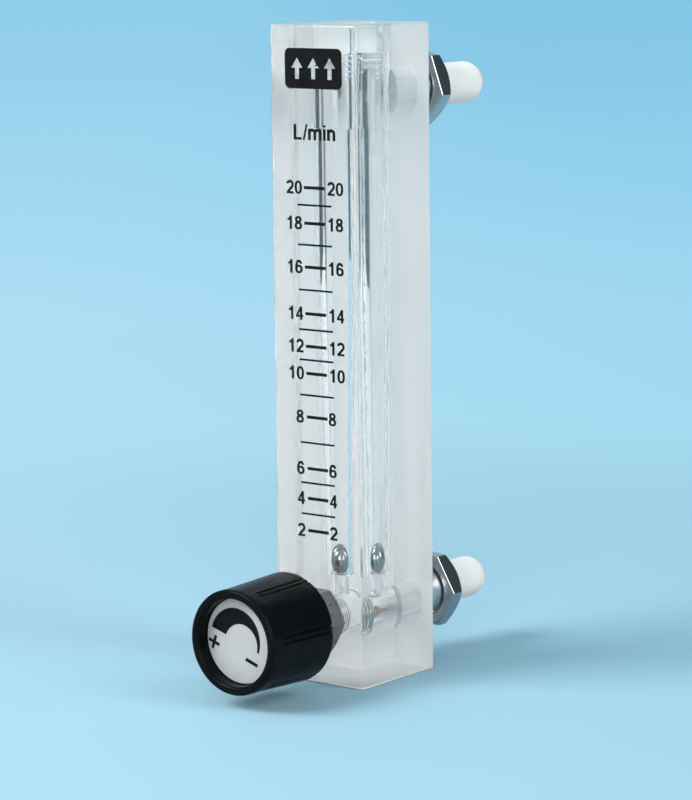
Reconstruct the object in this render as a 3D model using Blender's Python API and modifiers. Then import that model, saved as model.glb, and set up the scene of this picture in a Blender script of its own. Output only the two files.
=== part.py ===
"""Panel flowmeter for oxygen: an acrylic block with a ball float, a needle valve and two hose fittings.

Metres, +Z up. The origin is the middle of the block's base, the knob faces -Y and the fittings face +Y.
"""

import math

import bmesh
import bpy
from mathutils import Matrix

# Gaps and cuts
FIT_GAP = 0.0003
SLIP_GAP = 0.00015
CUT_OVERRUN = 0.002
MERGE_DISTANCE = 0.000005

# Facets
ROUND_SEGMENTS = 32
SMALL_SEGMENTS = 24
RING_SEGMENTS = 6
ROUND_STEPS = 3
DOME_STEPS = 5
SHARP_ANGLE = math.radians(35)

# Acrylic block
BLOCK_WIDTH = 0.0207
BLOCK_DEPTH = 0.0227
BLOCK_HEIGHT = 0.126
BLOCK_EDGE = 0.0004
BLOCK_EDGE_SEGMENTS = 2
PANEL_REST_MARGIN = 0.0087

# Heights of the two port axes
VALVE_HEIGHT = 0.0128
OUTLET_DROP = 0.013
OUTLET_HEIGHT = BLOCK_HEIGHT - OUTLET_DROP

# Float and its bore
FLOAT_RADIUS = 0.003
FLOAT_CLEARANCE = 0.00008
SEAT_HEIGHT = 0.0205
SEAT_PASSAGE_RADIUS = 0.002
TUBE_BASE_RADIUS = FLOAT_RADIUS + FLOAT_CLEARANCE
TUBE_WIDENING = 0.00092
TUBE_TOP_RADIUS = TUBE_BASE_RADIUS + TUBE_WIDENING
TAPER_LENGTH_SHARE = 0.623
TAPER_SHARES = ((0.0, 0.0), (0.17, 0.12), (0.65, 0.61), (1.0, 1.0))
PLUG_HOLE_RADIUS = 0.0046
PLUG_HOLE_DEPTH = 0.0196
LEDGE_HEIGHT = BLOCK_HEIGHT - PLUG_HOLE_DEPTH

# Valve chamber, orifice and rear ports
PORT_RADIUS = 0.0042
PORT_DEPTH = 0.0063
ORIFICE_WEB = 0.0015
ORIFICE_RADIUS = 0.00075
CHAMBER_DEPTH = BLOCK_DEPTH - PORT_DEPTH - ORIFICE_WEB
OUTLET_PASSAGE_RADIUS = 0.0012

# Seal rings and their grooves
SEAL_RADIUS = 0.0005
SEAL_THICKNESS = SEAL_RADIUS + SEAL_RADIUS
SEAL_GAP = 0.0001
GROOVE_SIDE_GAP = 0.0002
GROOVE_WIDTH = SEAL_THICKNESS + GROOVE_SIDE_GAP + GROOVE_SIDE_GAP
GROOVE_DEPTH = SEAL_GAP + SEAL_THICKNESS + SEAL_GAP

# Plug and float stop
PLUG_RADIUS = PLUG_HOLE_RADIUS - FIT_GAP
PLUG_LENGTH = 0.0079
PLUG_TOP = BLOCK_HEIGHT - FIT_GAP
PLUG_BOTTOM = PLUG_TOP - PLUG_LENGTH
PLUG_CHAMFER = 0.0004
PLUG_SEAL_RISE = 0.0013
PLUG_SLOT_WIDTH = 0.0012
PLUG_SLOT_DEPTH = 0.0016
STOP_RADIUS = 0.001
STOP_SOCKET_DEPTH = 0.0034
STOP_REACH = 0.0168
STOP_TIP_CHAMFER = 0.0004

# Valve bushing, with lengths counted outwards from the block's front face
BUSHING_RADIUS = PORT_RADIUS - SLIP_GAP
BUSHING_REACH = 0.0076
BUSHING_CHAMFER = 0.0004
BUSHING_STEP = 0.0016
HEX_FLATS = 0.012
HEX_THICKNESS = 0.0052
HEX_FACE_INSET = 0.0003
HEX_CHAMFER_ANGLE = math.radians(30)
NECK_RADIUS = 0.0046
NECK_LENGTH = 0.0048
HEX_END = FIT_GAP + HEX_THICKNESS
NECK_END = HEX_END + NECK_LENGTH

# Valve stem, with lengths counted the same way
SHANK_RADIUS = 0.0021
SHANK_BORE = SHANK_RADIUS + SLIP_GAP + SEAL_GAP
THREAD_RADIUS = 0.0027
THREAD_BORE = THREAD_RADIUS + SLIP_GAP
THREAD_START = 0.001
THREAD_LENGTH = 0.0098
STEM_SEAL_DEPTH = 0.006
SHANK_INSET = 0.0003
NEEDLE_NECK_RADIUS = 0.00145
NEEDLE_BASE_RADIUS = 0.00205
NEEDLE_LAND = 0.0006
NEEDLE_LENGTH = 0.0044
NEEDLE_POINT_RADIUS = 0.00012
NEEDLE_ENTRY = 0.001
STEM_END_RADIUS = 0.002
STEM_FLAT = 0.0014

# Knob, with lengths counted the same way
KNOB_STANDOFF = 0.0089
KNOB_LENGTH = 0.0174
KNOB_REAR_RADIUS = 0.0106
KNOB_FRONT_RADIUS = 0.01005
KNOB_COLLAR = 0.003
KNOB_RIM_ROUND = 0.0009
KNOB_REAR_CHAMFER = 0.0003
KNOB_WALL = 0.0018
KNOB_WEB = 0.0022
KNOB_FRONT = KNOB_STANDOFF + KNOB_LENGTH
HUB_RADIUS = 0.0046
HUB_BORE = STEM_END_RADIUS + FIT_GAP
HUB_CLEARANCE = 0.0008
HUB_FLOOR = 0.0007
HUB_END = NECK_END + HUB_CLEARANCE
RECESS_RADIUS = 0.0083
RECESS_DEPTH = 0.0027
RECESS_LIP = 0.0003
GROOVE_COUNT = 60
GROOVE_GROUP = 10
DEEP_GROOVES_IN_GROUP = 2
GROOVE_SIDES = 6
FINE_GROOVE_RADIUS = 0.00022
DEEP_GROOVE_RADIUS = 0.00036
GROOVE_MARGIN = 0.0006

# Knob disc and screw, stacked back from the knob's front
DISC_THICKNESS = 0.0005
DISC_RADIUS = RECESS_RADIUS - SLIP_GAP
DISC_FACE = KNOB_FRONT - RECESS_DEPTH
RECESS_FLOOR = DISC_FACE - DISC_THICKNESS - FIT_GAP
SCREW_HEAD_RADIUS = 0.0021
SCREW_HEAD_HEIGHT = 0.0011
SCREW_RADIUS = 0.001
SCREW_LENGTH = 0.0062
SCREW_SLOT_WIDTH = 0.0006
SCREW_SLOT_DEPTH = 0.0005
HEAD_SEAT = RECESS_FLOOR - FIT_GAP - SCREW_HEAD_HEIGHT - FIT_GAP
HUB_BORE_TOP = HEAD_SEAT - HUB_FLOOR
STEM_TOP = HUB_BORE_TOP - FIT_GAP

# Rear fittings, with lengths counted outwards from the block's back face
SPIGOT_RADIUS = PORT_RADIUS - FIT_GAP
SPIGOT_REACH = 0.0045
SPIGOT_SEAL_DEPTH = 0.0022
FITTING_BORE = 0.0015
BARREL_RADIUS = 0.005
BARREL_END = 0.0142
BARREL_CHAMFER = 0.0005
BARB_END = 0.0246
BARB_RADIUS = 0.0032
BARB_ROOT_RADIUS = 0.0026
BARB_COUNT = 3
BARB_PITCH = 0.0026
BARB_LAND = 0.0004

# Nuts on the barrels
NUT_FLATS = 0.014
NUT_THICKNESS = 0.004
NUT_BORE = BARREL_RADIUS + FIT_GAP
INLET_NUT_PLACE = 0.0099
OUTLET_NUT_PLACE = 0.0074
OUTLET_NUT_TURN = math.radians(10.5)
NUT_CHAMFER_ANGLE = math.radians(45)

# Caps over the barbs
CAP_RADIUS = 0.0041
CAP_WALL = 0.0006
CAP_START = BARREL_END + FIT_GAP
CAP_DOME_CENTRE = 0.0247
CAP_LIP_CHAMFER = 0.0002

# Colour with its alpha, roughness and metallic share of each finish
FINISHES = {
    "clear_acrylic": ((0.90, 0.93, 0.94, 0.35), 0.06, 0.0),
    "clear_plug": ((0.88, 0.91, 0.92, 0.45), 0.12, 0.0),
    "clear_pin": ((0.92, 0.94, 0.95, 0.45), 0.08, 0.0),
    "steel_ball": ((0.60, 0.61, 0.62, 1.0), 0.08, 1.0),
    "nickel_bushing": ((0.56, 0.57, 0.58, 1.0), 0.25, 1.0),
    "brass_stem": ((0.66, 0.50, 0.40, 1.0), 0.30, 1.0),
    "white_seal": ((0.86, 0.86, 0.84, 1.0), 0.50, 0.0),
    "black_knob": ((0.012, 0.013, 0.014, 1.0), 0.42, 0.0),
    "silver_disc": ((0.80, 0.81, 0.82, 1.0), 0.38, 0.4),
    "zinc_screw": ((0.62, 0.63, 0.64, 1.0), 0.30, 1.0),
    "chrome_fitting": ((0.66, 0.67, 0.68, 1.0), 0.14, 1.0),
    "chrome_nut": ((0.60, 0.61, 0.63, 1.0), 0.12, 1.0),
    "white_cap": ((0.88, 0.89, 0.89, 1.0), 0.48, 0.0),
}


def clear_scene():
    """Remove every object of the open scene."""
    for old in list(bpy.data.objects):
        bpy.data.objects.remove(old, do_unlink=True)


def make_collection(name):
    """Make a collection in the scene."""
    collection = bpy.data.collections.new(name)
    bpy.context.scene.collection.children.link(collection)
    return collection


def make_axis(name, place, tilt):
    """Make an empty whose local Z is the axis that round pieces are turned about."""
    axis = bpy.data.objects.new(name, None)
    axis.location = place
    axis.rotation_euler = (tilt, 0, 0)
    PARTS.objects.link(axis)
    return axis


clear_scene()
PARTS = make_collection("oxygen_flowmeter")
CUTTERS = make_collection("cutters")
BLOCK_AXIS = make_axis("block_axis", (0, 0, 0), 0)
VALVE_AXIS = make_axis("valve_axis", (0, -BLOCK_DEPTH / 2, VALVE_HEIGHT), math.pi / 2)
INLET_AXIS = make_axis("inlet_axis", (0, BLOCK_DEPTH / 2, VALVE_HEIGHT), -math.pi / 2)
OUTLET_AXIS = make_axis("outlet_axis", (0, BLOCK_DEPTH / 2, OUTLET_HEIGHT), -math.pi / 2)


def make_material(name, finish):
    """Make a piece's own Principled material from one of the finishes."""
    colour, roughness, metallic = FINISHES[finish]
    material = bpy.data.materials.new(name + "_" + finish)
    material.use_nodes = True
    shader = material.node_tree.nodes["Principled BSDF"]
    shader.inputs["Base Color"].default_value = colour
    shader.inputs["Alpha"].default_value = colour[-1]
    shader.inputs["Roughness"].default_value = roughness
    shader.inputs["Metallic"].default_value = metallic
    return material


def place_mesh(name, mesh, axis, collection=PARTS, turn=0):
    """Put a mesh on an axis, turned about it."""
    obj = bpy.data.objects.new(name, mesh)
    collection.objects.link(obj)
    obj.parent = axis
    obj.rotation_euler = (0, 0, turn)
    return obj


def as_cutter(obj):
    """Keep an object that only shapes others out of renders."""
    obj.hide_render = True
    obj.display_type = "WIRE"
    return obj


def finish_piece(obj, finish):
    """Turn a piece's modifiers into its mesh, shade it and give it its material."""
    bpy.context.view_layer.update()
    evaluated = obj.evaluated_get(bpy.context.evaluated_depsgraph_get())
    mesh = bpy.data.meshes.new_from_object(evaluated)
    mesh.name = obj.name
    mesh.shade_smooth()
    mesh.set_sharp_from_angle(angle=SHARP_ANGLE)
    mesh.materials.clear()
    mesh.materials.append(make_material(obj.name, finish))
    obj.modifiers.clear()
    obj.data = mesh


def turned(name, profile, axis, collection=PARTS, closed=False, segments=SMALL_SEGMENTS):
    """Turn (radius, height) points about an axis. They run down the outer side, top to bottom."""
    mesh = bpy.data.meshes.new(name)
    edges = [(index, index + 1) for index in range(len(profile) - 1)]
    if closed:
        edges.append((len(profile) - 1, 0))
    mesh.from_pydata([(radius, 0, height) for radius, height in profile], edges, [])
    obj = place_mesh(name, mesh, axis, collection)
    screw = obj.modifiers.new("Turn", "SCREW")
    screw.steps = segments
    screw.render_steps = segments
    screw.use_merge_vertices = True
    screw.merge_threshold = MERGE_DISTANCE
    return obj


def turned_cutter(name, profile, axis, closed=False, segments=SMALL_SEGMENTS):
    """Make a turned cutter in the same way."""
    return as_cutter(turned(name, profile, axis, CUTTERS, closed, segments))


def box_mesh(name, size, centre):
    """Make a box of the given size about a centre."""
    mesh = bpy.data.meshes.new(name)
    bm = bmesh.new()
    bmesh.ops.create_cube(bm, size=1, matrix=Matrix.Translation(centre) @ Matrix.Diagonal((*size, 1)))
    bm.to_mesh(mesh)
    bm.free()
    return mesh


def box_cutter(name, size, centre, axis):
    """Make a box that shapes other pieces."""
    return as_cutter(place_mesh(name, box_mesh(name, size, centre), axis, CUTTERS))


def combine(obj, tool, operation):
    """Join, cut or limit an object with another one."""
    boolean = obj.modifiers.new(tool.name, "BOOLEAN")
    boolean.operation = operation
    boolean.object = tool


def arc(centre_radius, centre_height, radius, start, end, steps):
    """Points of a round in a profile, with angles from the radial direction."""
    angles = [start + (end - start) * step / steps for step in range(steps + 1)]
    return [(centre_radius + radius * math.cos(angle), centre_height + radius * math.sin(angle))
            for angle in angles]


def groove(outer, bore, middle):
    """Points of a seal groove in a shaft of one radius that runs in a bore of another."""
    floor = bore - GROOVE_DEPTH
    top = middle + GROOVE_WIDTH / 2
    bottom = middle - GROOVE_WIDTH / 2
    return [(outer, top), (floor, top), (floor, bottom), (outer, bottom)]


def seal_ring(name, ring_radius, axis, height):
    """Make a seal ring about an axis."""
    bpy.ops.mesh.primitive_torus_add(major_segments=SMALL_SEGMENTS, minor_segments=RING_SEGMENTS,
                                     major_radius=ring_radius, minor_radius=SEAL_RADIUS)
    ring = bpy.context.object
    for owner in list(ring.users_collection):
        owner.objects.unlink(ring)
    PARTS.objects.link(ring)
    ring.name = name
    ring.parent = axis
    ring.location = (0, 0, height)
    finish_piece(ring, "white_seal")


def shaft_seal(name, bore, axis, height):
    """Make the seal ring that fills a shaft's groove inside a bore."""
    seal_ring(name, bore - SEAL_GAP - SEAL_RADIUS, axis, height)


def hexagon(name, flats, low, thickness, axis, turn, collection=PARTS, slope=HEX_CHAMFER_ANGLE,
            both_ends=True):
    """Make a hexagon with a corner along X, turned off to a cone at its top or at both ends."""
    corner = flats / 2 / math.cos(math.pi / 6)
    top = low + thickness
    mesh = bpy.data.meshes.new(name)
    bm = bmesh.new()
    bmesh.ops.create_cone(bm, cap_ends=True, segments=6, radius1=corner, radius2=corner,
                          depth=thickness + CUT_OVERRUN, matrix=Matrix.Translation((0, 0, (low + top) / 2)))
    bm.to_mesh(mesh)
    bm.free()
    body = place_mesh(name, mesh, axis, collection, turn + math.pi / 6)
    face = flats / 2 - HEX_FACE_INSET
    outer = corner + HEX_FACE_INSET
    drop = (outer - face) * math.tan(slope)
    bottom = [(outer, low + drop), (face, low)] if both_ends else [(outer, low)]
    limit = turned_cutter(name + "_limit", [
        (0, top), (face, top), (outer, top - drop), *bottom, (0, low),
    ], axis, segments=ROUND_SEGMENTS)
    combine(body, limit, "INTERSECT")
    return body


def split_between_ports(mesh):
    """Give the back face a stretch of its own between the ports, where a panel lies flat on it."""
    bm = bmesh.new()
    bm.from_mesh(mesh)
    for height in (VALVE_HEIGHT + PANEL_REST_MARGIN, OUTLET_HEIGHT - PANEL_REST_MARGIN):
        bmesh.ops.bisect_plane(bm, geom=bm.verts[:] + bm.edges[:] + bm.faces[:],
                               plane_co=(0, 0, height), plane_no=(0, 0, 1))
    bm.to_mesh(mesh)
    bm.free()


def make_block():
    """Clear block with the tapered bore, the valve chamber and the rear ports."""
    size = (BLOCK_WIDTH, BLOCK_DEPTH, BLOCK_HEIGHT)
    block = place_mesh("block", box_mesh("block", size, (0, 0, BLOCK_HEIGHT / 2)), BLOCK_AXIS)
    bevel = block.modifiers.new("Edges", "BEVEL")
    bevel.width = BLOCK_EDGE
    bevel.segments = BLOCK_EDGE_SEGMENTS

    above = BLOCK_HEIGHT + CUT_OVERRUN
    taper_length = (LEDGE_HEIGHT - SEAT_HEIGHT) * TAPER_LENGTH_SHARE
    taper = [(TUBE_BASE_RADIUS + TUBE_WIDENING * widening, SEAT_HEIGHT + taper_length * rise)
             for rise, widening in reversed(TAPER_SHARES)]
    bore = turned_cutter("float_bore", [
        (0, above), (PLUG_HOLE_RADIUS, above), (PLUG_HOLE_RADIUS, LEDGE_HEIGHT),
        (TUBE_TOP_RADIUS, LEDGE_HEIGHT), *taper,
        (SEAT_PASSAGE_RADIUS, SEAT_HEIGHT), (SEAT_PASSAGE_RADIUS, VALVE_HEIGHT), (0, VALVE_HEIGHT),
    ], BLOCK_AXIS, segments=ROUND_SEGMENTS)

    web_end = CHAMBER_DEPTH + ORIFICE_WEB
    behind = BLOCK_DEPTH + CUT_OVERRUN
    middle = BLOCK_DEPTH / 2
    channel = turned_cutter("valve_channel", [
        (0, CUT_OVERRUN), (PORT_RADIUS, CUT_OVERRUN), (PORT_RADIUS, -CHAMBER_DEPTH),
        (ORIFICE_RADIUS, -CHAMBER_DEPTH), (ORIFICE_RADIUS, -web_end), (PORT_RADIUS, -web_end),
        (PORT_RADIUS, -behind), (0, -behind),
    ], VALVE_AXIS, segments=ROUND_SEGMENTS)

    outlet = turned_cutter("outlet_port", [
        (0, CUT_OVERRUN), (PORT_RADIUS, CUT_OVERRUN), (PORT_RADIUS, -PORT_DEPTH),
        (OUTLET_PASSAGE_RADIUS, -PORT_DEPTH), (OUTLET_PASSAGE_RADIUS, -middle), (0, -middle),
    ], OUTLET_AXIS, segments=ROUND_SEGMENTS)

    for cutter in (bore, channel, outlet):
        combine(block, cutter, "DIFFERENCE")
    finish_piece(block, "clear_acrylic")
    split_between_ports(block.data)


def make_float():
    """Ball on its seat, clear of the seat's edge by the fitting gap."""
    mesh = bpy.data.meshes.new("float_ball")
    bm = bmesh.new()
    bmesh.ops.create_uvsphere(bm, u_segments=SMALL_SEGMENTS, v_segments=SMALL_SEGMENTS // 2,
                              radius=FLOAT_RADIUS)
    bm.to_mesh(mesh)
    bm.free()
    ball = place_mesh("float_ball", mesh, BLOCK_AXIS)
    ball.location.z = SEAT_HEIGHT + math.sqrt(FLOAT_RADIUS ** 2 - SEAT_PASSAGE_RADIUS ** 2) + FIT_GAP
    finish_piece(ball, "steel_ball")


def make_plug():
    """Plug at the top of the bore, with its seal and the pin that stops the float."""
    seal_height = PLUG_BOTTOM + PLUG_SEAL_RISE
    socket_radius = STOP_RADIUS + SLIP_GAP
    socket_top = PLUG_BOTTOM + STOP_SOCKET_DEPTH
    plug = turned("top_plug", [
        (0, PLUG_TOP), (PLUG_RADIUS - PLUG_CHAMFER, PLUG_TOP), (PLUG_RADIUS, PLUG_TOP - PLUG_CHAMFER),
        *groove(PLUG_RADIUS, PLUG_HOLE_RADIUS, seal_height),
        (PLUG_RADIUS, PLUG_BOTTOM), (socket_radius, PLUG_BOTTOM), (socket_radius, socket_top),
        (0, socket_top),
    ], BLOCK_AXIS)
    slot_length = PLUG_RADIUS + PLUG_RADIUS + CUT_OVERRUN
    slot_height = PLUG_SLOT_DEPTH + CUT_OVERRUN
    slot_centre = (0, 0, PLUG_TOP - PLUG_SLOT_DEPTH + slot_height / 2)
    slot = box_cutter("plug_slot", (slot_length, PLUG_SLOT_WIDTH, slot_height), slot_centre, BLOCK_AXIS)
    combine(plug, slot, "DIFFERENCE")
    finish_piece(plug, "clear_plug")
    shaft_seal("plug_oring", PLUG_HOLE_RADIUS, BLOCK_AXIS, seal_height)

    pin_top = socket_top - FIT_GAP
    pin_bottom = PLUG_BOTTOM - STOP_REACH
    pin = turned("float_stop", [
        (0, pin_top), (STOP_RADIUS, pin_top), (STOP_RADIUS, pin_bottom + STOP_TIP_CHAMFER),
        (STOP_RADIUS - STOP_TIP_CHAMFER, pin_bottom), (0, pin_bottom),
    ], BLOCK_AXIS)
    finish_piece(pin, "clear_pin")


def make_bushing():
    """Bushing that carries the stem: a shank in the block, a hexagon and a neck under the knob."""
    middle = (FIT_GAP + HEX_END) / 2
    bushing = turned("valve_bushing", [
        (0, NECK_END), (NECK_RADIUS - BUSHING_CHAMFER, NECK_END), (NECK_RADIUS, NECK_END - BUSHING_CHAMFER),
        (NECK_RADIUS, middle), (BUSHING_RADIUS, middle), (BUSHING_RADIUS, BUSHING_CHAMFER - BUSHING_REACH),
        (BUSHING_RADIUS - BUSHING_CHAMFER, -BUSHING_REACH), (0, -BUSHING_REACH),
    ], VALVE_AXIS, segments=ROUND_SEGMENTS)
    nut = as_cutter(hexagon("bushing_hexagon", HEX_FLATS, FIT_GAP, HEX_THICKNESS, VALVE_AXIS, 0, CUTTERS))
    bore = turned_cutter("stem_bore", [
        (0, NECK_END + CUT_OVERRUN), (THREAD_BORE, NECK_END + CUT_OVERRUN), (THREAD_BORE, -BUSHING_STEP),
        (SHANK_BORE, -BUSHING_STEP), (SHANK_BORE, -BUSHING_REACH - CUT_OVERRUN),
        (0, -BUSHING_REACH - CUT_OVERRUN),
    ], VALVE_AXIS)
    seal_inner = PORT_RADIUS + SEAL_GAP
    recess_outer = seal_inner + SEAL_THICKNESS + SEAL_GAP
    seal_floor = FIT_GAP + SEAL_THICKNESS
    recess = turned_cutter("seal_recess", [
        (recess_outer, seal_floor), (recess_outer, -FIT_GAP),
        (BUSHING_RADIUS - SLIP_GAP, -FIT_GAP), (BUSHING_RADIUS - SLIP_GAP, seal_floor),
    ], VALVE_AXIS, closed=True, segments=ROUND_SEGMENTS)
    combine(bushing, nut, "UNION")
    combine(bushing, bore, "DIFFERENCE")
    combine(bushing, recess, "DIFFERENCE")
    finish_piece(bushing, "nickel_bushing")
    seal_ring("bushing_oring", seal_inner + SEAL_RADIUS, VALVE_AXIS, SEAL_GAP + SEAL_RADIUS)


def make_stem():
    """Stem with the needle, the seal groove, the thread and the flatted end that drives it."""
    needle_tip = -CHAMBER_DEPTH - NEEDLE_ENTRY
    needle_base = needle_tip + NEEDLE_LENGTH
    land_end = needle_base + NEEDLE_LAND
    thread_end = THREAD_LENGTH - THREAD_START
    shank_end = SHANK_INSET - BUSHING_REACH
    socket_radius = SCREW_RADIUS + SLIP_GAP
    socket_floor = HEAD_SEAT - SCREW_LENGTH
    stem = turned("valve_stem", [
        (0, socket_floor), (socket_radius, socket_floor), (socket_radius, STEM_TOP),
        (STEM_END_RADIUS, STEM_TOP), (STEM_END_RADIUS, thread_end), (THREAD_RADIUS, thread_end),
        (THREAD_RADIUS, -THREAD_START),
        (SHANK_RADIUS, -THREAD_START), *groove(SHANK_RADIUS, SHANK_BORE, -STEM_SEAL_DEPTH),
        (SHANK_RADIUS, shank_end), (NEEDLE_NECK_RADIUS, shank_end), (NEEDLE_NECK_RADIUS, land_end),
        (NEEDLE_BASE_RADIUS, land_end), (NEEDLE_BASE_RADIUS, needle_base),
        (NEEDLE_POINT_RADIUS, needle_tip), (0, needle_tip),
    ], VALVE_AXIS)
    flat_length = STEM_TOP - HUB_END + CUT_OVERRUN
    flat_size = (STEM_END_RADIUS + THREAD_RADIUS, STEM_END_RADIUS, flat_length)
    flat_centre = (0, STEM_FLAT + STEM_END_RADIUS / 2, HUB_END + flat_length / 2)
    combine(stem, box_cutter("stem_flat", flat_size, flat_centre, VALVE_AXIS), "DIFFERENCE")
    finish_piece(stem, "brass_stem")
    shaft_seal("stem_oring", SHANK_BORE, VALVE_AXIS, -STEM_SEAL_DEPTH)


def grip_grooves():
    """Fine grooves along the knob's tapered grip, with a deeper pair in each group."""
    low = KNOB_STANDOFF - CUT_OVERRUN
    high = KNOB_FRONT - KNOB_COLLAR - GROOVE_MARGIN
    slope = (KNOB_REAR_RADIUS - KNOB_FRONT_RADIUS) / (KNOB_LENGTH - KNOB_COLLAR)
    middle = (low + high) / 2
    middle_radius = KNOB_REAR_RADIUS - slope * (middle - KNOB_STANDOFF)
    along = Matrix.Translation((middle_radius, 0, middle)) @ Matrix.Rotation(-math.atan(slope), 4, "Y")
    mesh = bpy.data.meshes.new("grip_grooves")
    bm = bmesh.new()
    for index in range(GROOVE_COUNT):
        radius = DEEP_GROOVE_RADIUS if index % GROOVE_GROUP < DEEP_GROOVES_IN_GROUP else FINE_GROOVE_RADIUS
        around = Matrix.Rotation(2 * math.pi * (index + 0.5) / GROOVE_COUNT, 4, "Z")
        bmesh.ops.create_cone(bm, cap_ends=True, segments=GROOVE_SIDES, radius1=radius, radius2=radius,
                              depth=high - low, matrix=around @ along)
    bm.to_mesh(mesh)
    bm.free()
    return as_cutter(place_mesh("grip_grooves", mesh, VALVE_AXIS, CUTTERS))


def make_knob():
    """Hollow knob with a hub on the stem, and the screw and disc in its front recess."""
    screw_hole = SCREW_RADIUS + SLIP_GAP
    head_hole = SCREW_HEAD_RADIUS + FIT_GAP
    cavity = KNOB_FRONT_RADIUS - KNOB_WALL
    web_rear = RECESS_FLOOR - KNOB_WEB
    rim_centre = KNOB_FRONT_RADIUS - KNOB_RIM_ROUND
    rim = arc(rim_centre, KNOB_FRONT - KNOB_RIM_ROUND, KNOB_RIM_ROUND, math.pi / 2, 0, ROUND_STEPS)
    knob = turned("knob", [
        (RECESS_RADIUS + RECESS_LIP, KNOB_FRONT), *rim, (KNOB_FRONT_RADIUS, KNOB_FRONT - KNOB_COLLAR),
        (KNOB_REAR_RADIUS, KNOB_STANDOFF + KNOB_REAR_CHAMFER),
        (KNOB_REAR_RADIUS - KNOB_REAR_CHAMFER, KNOB_STANDOFF),
        (cavity, KNOB_STANDOFF), (cavity, web_rear), (HUB_RADIUS, web_rear), (HUB_RADIUS, HUB_END),
        (HUB_BORE, HUB_END), (HUB_BORE, HUB_BORE_TOP), (screw_hole, HUB_BORE_TOP), (screw_hole, HEAD_SEAT),
        (head_hole, HEAD_SEAT), (head_hole, RECESS_FLOOR), (RECESS_RADIUS, RECESS_FLOOR),
        (RECESS_RADIUS, KNOB_FRONT - RECESS_LIP),
    ], VALVE_AXIS, closed=True, segments=ROUND_SEGMENTS)
    key_low = HUB_END + HUB_FLOOR
    key_high = HUB_BORE_TOP + HUB_FLOOR / 2
    key_inner = STEM_FLAT + SLIP_GAP
    key_outer = (HUB_BORE + HUB_RADIUS) / 2
    key_size = (HUB_BORE + HUB_BORE, key_outer - key_inner, key_high - key_low)
    key_centre = (0, (key_inner + key_outer) / 2, (key_low + key_high) / 2)
    key = box_cutter("hub_key", key_size, key_centre, VALVE_AXIS)
    combine(knob, key, "UNION")
    combine(knob, grip_grooves(), "DIFFERENCE")
    finish_piece(knob, "black_knob")

    disc = turned("knob_disc", [
        (0, DISC_FACE), (DISC_RADIUS, DISC_FACE), (DISC_RADIUS, DISC_FACE - DISC_THICKNESS),
        (0, DISC_FACE - DISC_THICKNESS),
    ], VALVE_AXIS, segments=ROUND_SEGMENTS)
    finish_piece(disc, "silver_disc")

    head_low = HEAD_SEAT + FIT_GAP
    head_top = head_low + SCREW_HEAD_HEIGHT
    screw = turned("knob_screw", [
        (0, head_top), (SCREW_HEAD_RADIUS, head_top), (SCREW_HEAD_RADIUS, head_low),
        (SCREW_RADIUS, head_low), (SCREW_RADIUS, head_low - SCREW_LENGTH), (0, head_low - SCREW_LENGTH),
    ], VALVE_AXIS)
    slot_length = SCREW_HEAD_RADIUS + SCREW_HEAD_RADIUS + CUT_OVERRUN
    slot_size = (slot_length, SCREW_SLOT_WIDTH, SCREW_SLOT_DEPTH + CUT_OVERRUN)
    slot_centre = (0, 0, head_top - SCREW_SLOT_DEPTH + slot_size[-1] / 2)
    combine(screw, box_cutter("screw_slot", slot_size, slot_centre, VALVE_AXIS), "DIFFERENCE")
    finish_piece(screw, "zinc_screw")


def barb_points():
    """Points down the barbs, each a cone that widens from the tip and steps back to the root."""
    points = []
    for index in range(BARB_COUNT):
        tip = BARB_END - index * BARB_PITCH
        points += [(BARB_ROOT_RADIUS, tip), (BARB_RADIUS, tip - BARB_PITCH + BARB_LAND),
                   (BARB_RADIUS, tip - BARB_PITCH)]
    return points + [(BARB_ROOT_RADIUS, BARB_END - BARB_COUNT * BARB_PITCH)]


def make_fitting(side, axis, nut_place, nut_turn):
    """Barbed fitting in a rear port, with its seal, its nut and its cap."""
    fitting = turned(side + "_fitting", [
        (FITTING_BORE, BARB_END), *barb_points(), (BARB_ROOT_RADIUS, BARREL_END),
        (BARREL_RADIUS - BARREL_CHAMFER, BARREL_END), (BARREL_RADIUS, BARREL_END - BARREL_CHAMFER),
        (BARREL_RADIUS, FIT_GAP), (SPIGOT_RADIUS, FIT_GAP),
        *groove(SPIGOT_RADIUS, PORT_RADIUS, -SPIGOT_SEAL_DEPTH),
        (SPIGOT_RADIUS, -SPIGOT_REACH), (FITTING_BORE, -SPIGOT_REACH),
    ], axis, closed=True)
    finish_piece(fitting, "chrome_fitting")
    shaft_seal(side + "_oring", PORT_RADIUS, axis, -SPIGOT_SEAL_DEPTH)

    nut = hexagon(side + "_nut", NUT_FLATS, nut_place, NUT_THICKNESS, axis, nut_turn, slope=NUT_CHAMFER_ANGLE,
                  both_ends=False)
    nut_end = nut_place + NUT_THICKNESS + CUT_OVERRUN
    bore = turned_cutter(side + "_nut_bore", [
        (0, nut_end), (NUT_BORE, nut_end),
        (NUT_BORE, nut_place - CUT_OVERRUN), (0, nut_place - CUT_OVERRUN),
    ], axis)
    combine(nut, bore, "DIFFERENCE")
    finish_piece(nut, "chrome_nut")

    inner = CAP_RADIUS - CAP_WALL
    cap = turned(side + "_cap", [
        *arc(0, CAP_DOME_CENTRE, CAP_RADIUS, math.pi / 2, 0, DOME_STEPS),
        (CAP_RADIUS, CAP_START + CAP_LIP_CHAMFER), (CAP_RADIUS - CAP_LIP_CHAMFER, CAP_START),
        (inner, CAP_START),
        *arc(0, CAP_DOME_CENTRE, inner, 0, math.pi / 2, DOME_STEPS),
    ], axis)
    finish_piece(cap, "white_cap")


make_block()
make_float()
make_plug()
make_bushing()
make_stem()
make_knob()
make_fitting("inlet", INLET_AXIS, INLET_NUT_PLACE, 0)
make_fitting("outlet", OUTLET_AXIS, OUTLET_NUT_PLACE, OUTLET_NUT_TURN)
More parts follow.
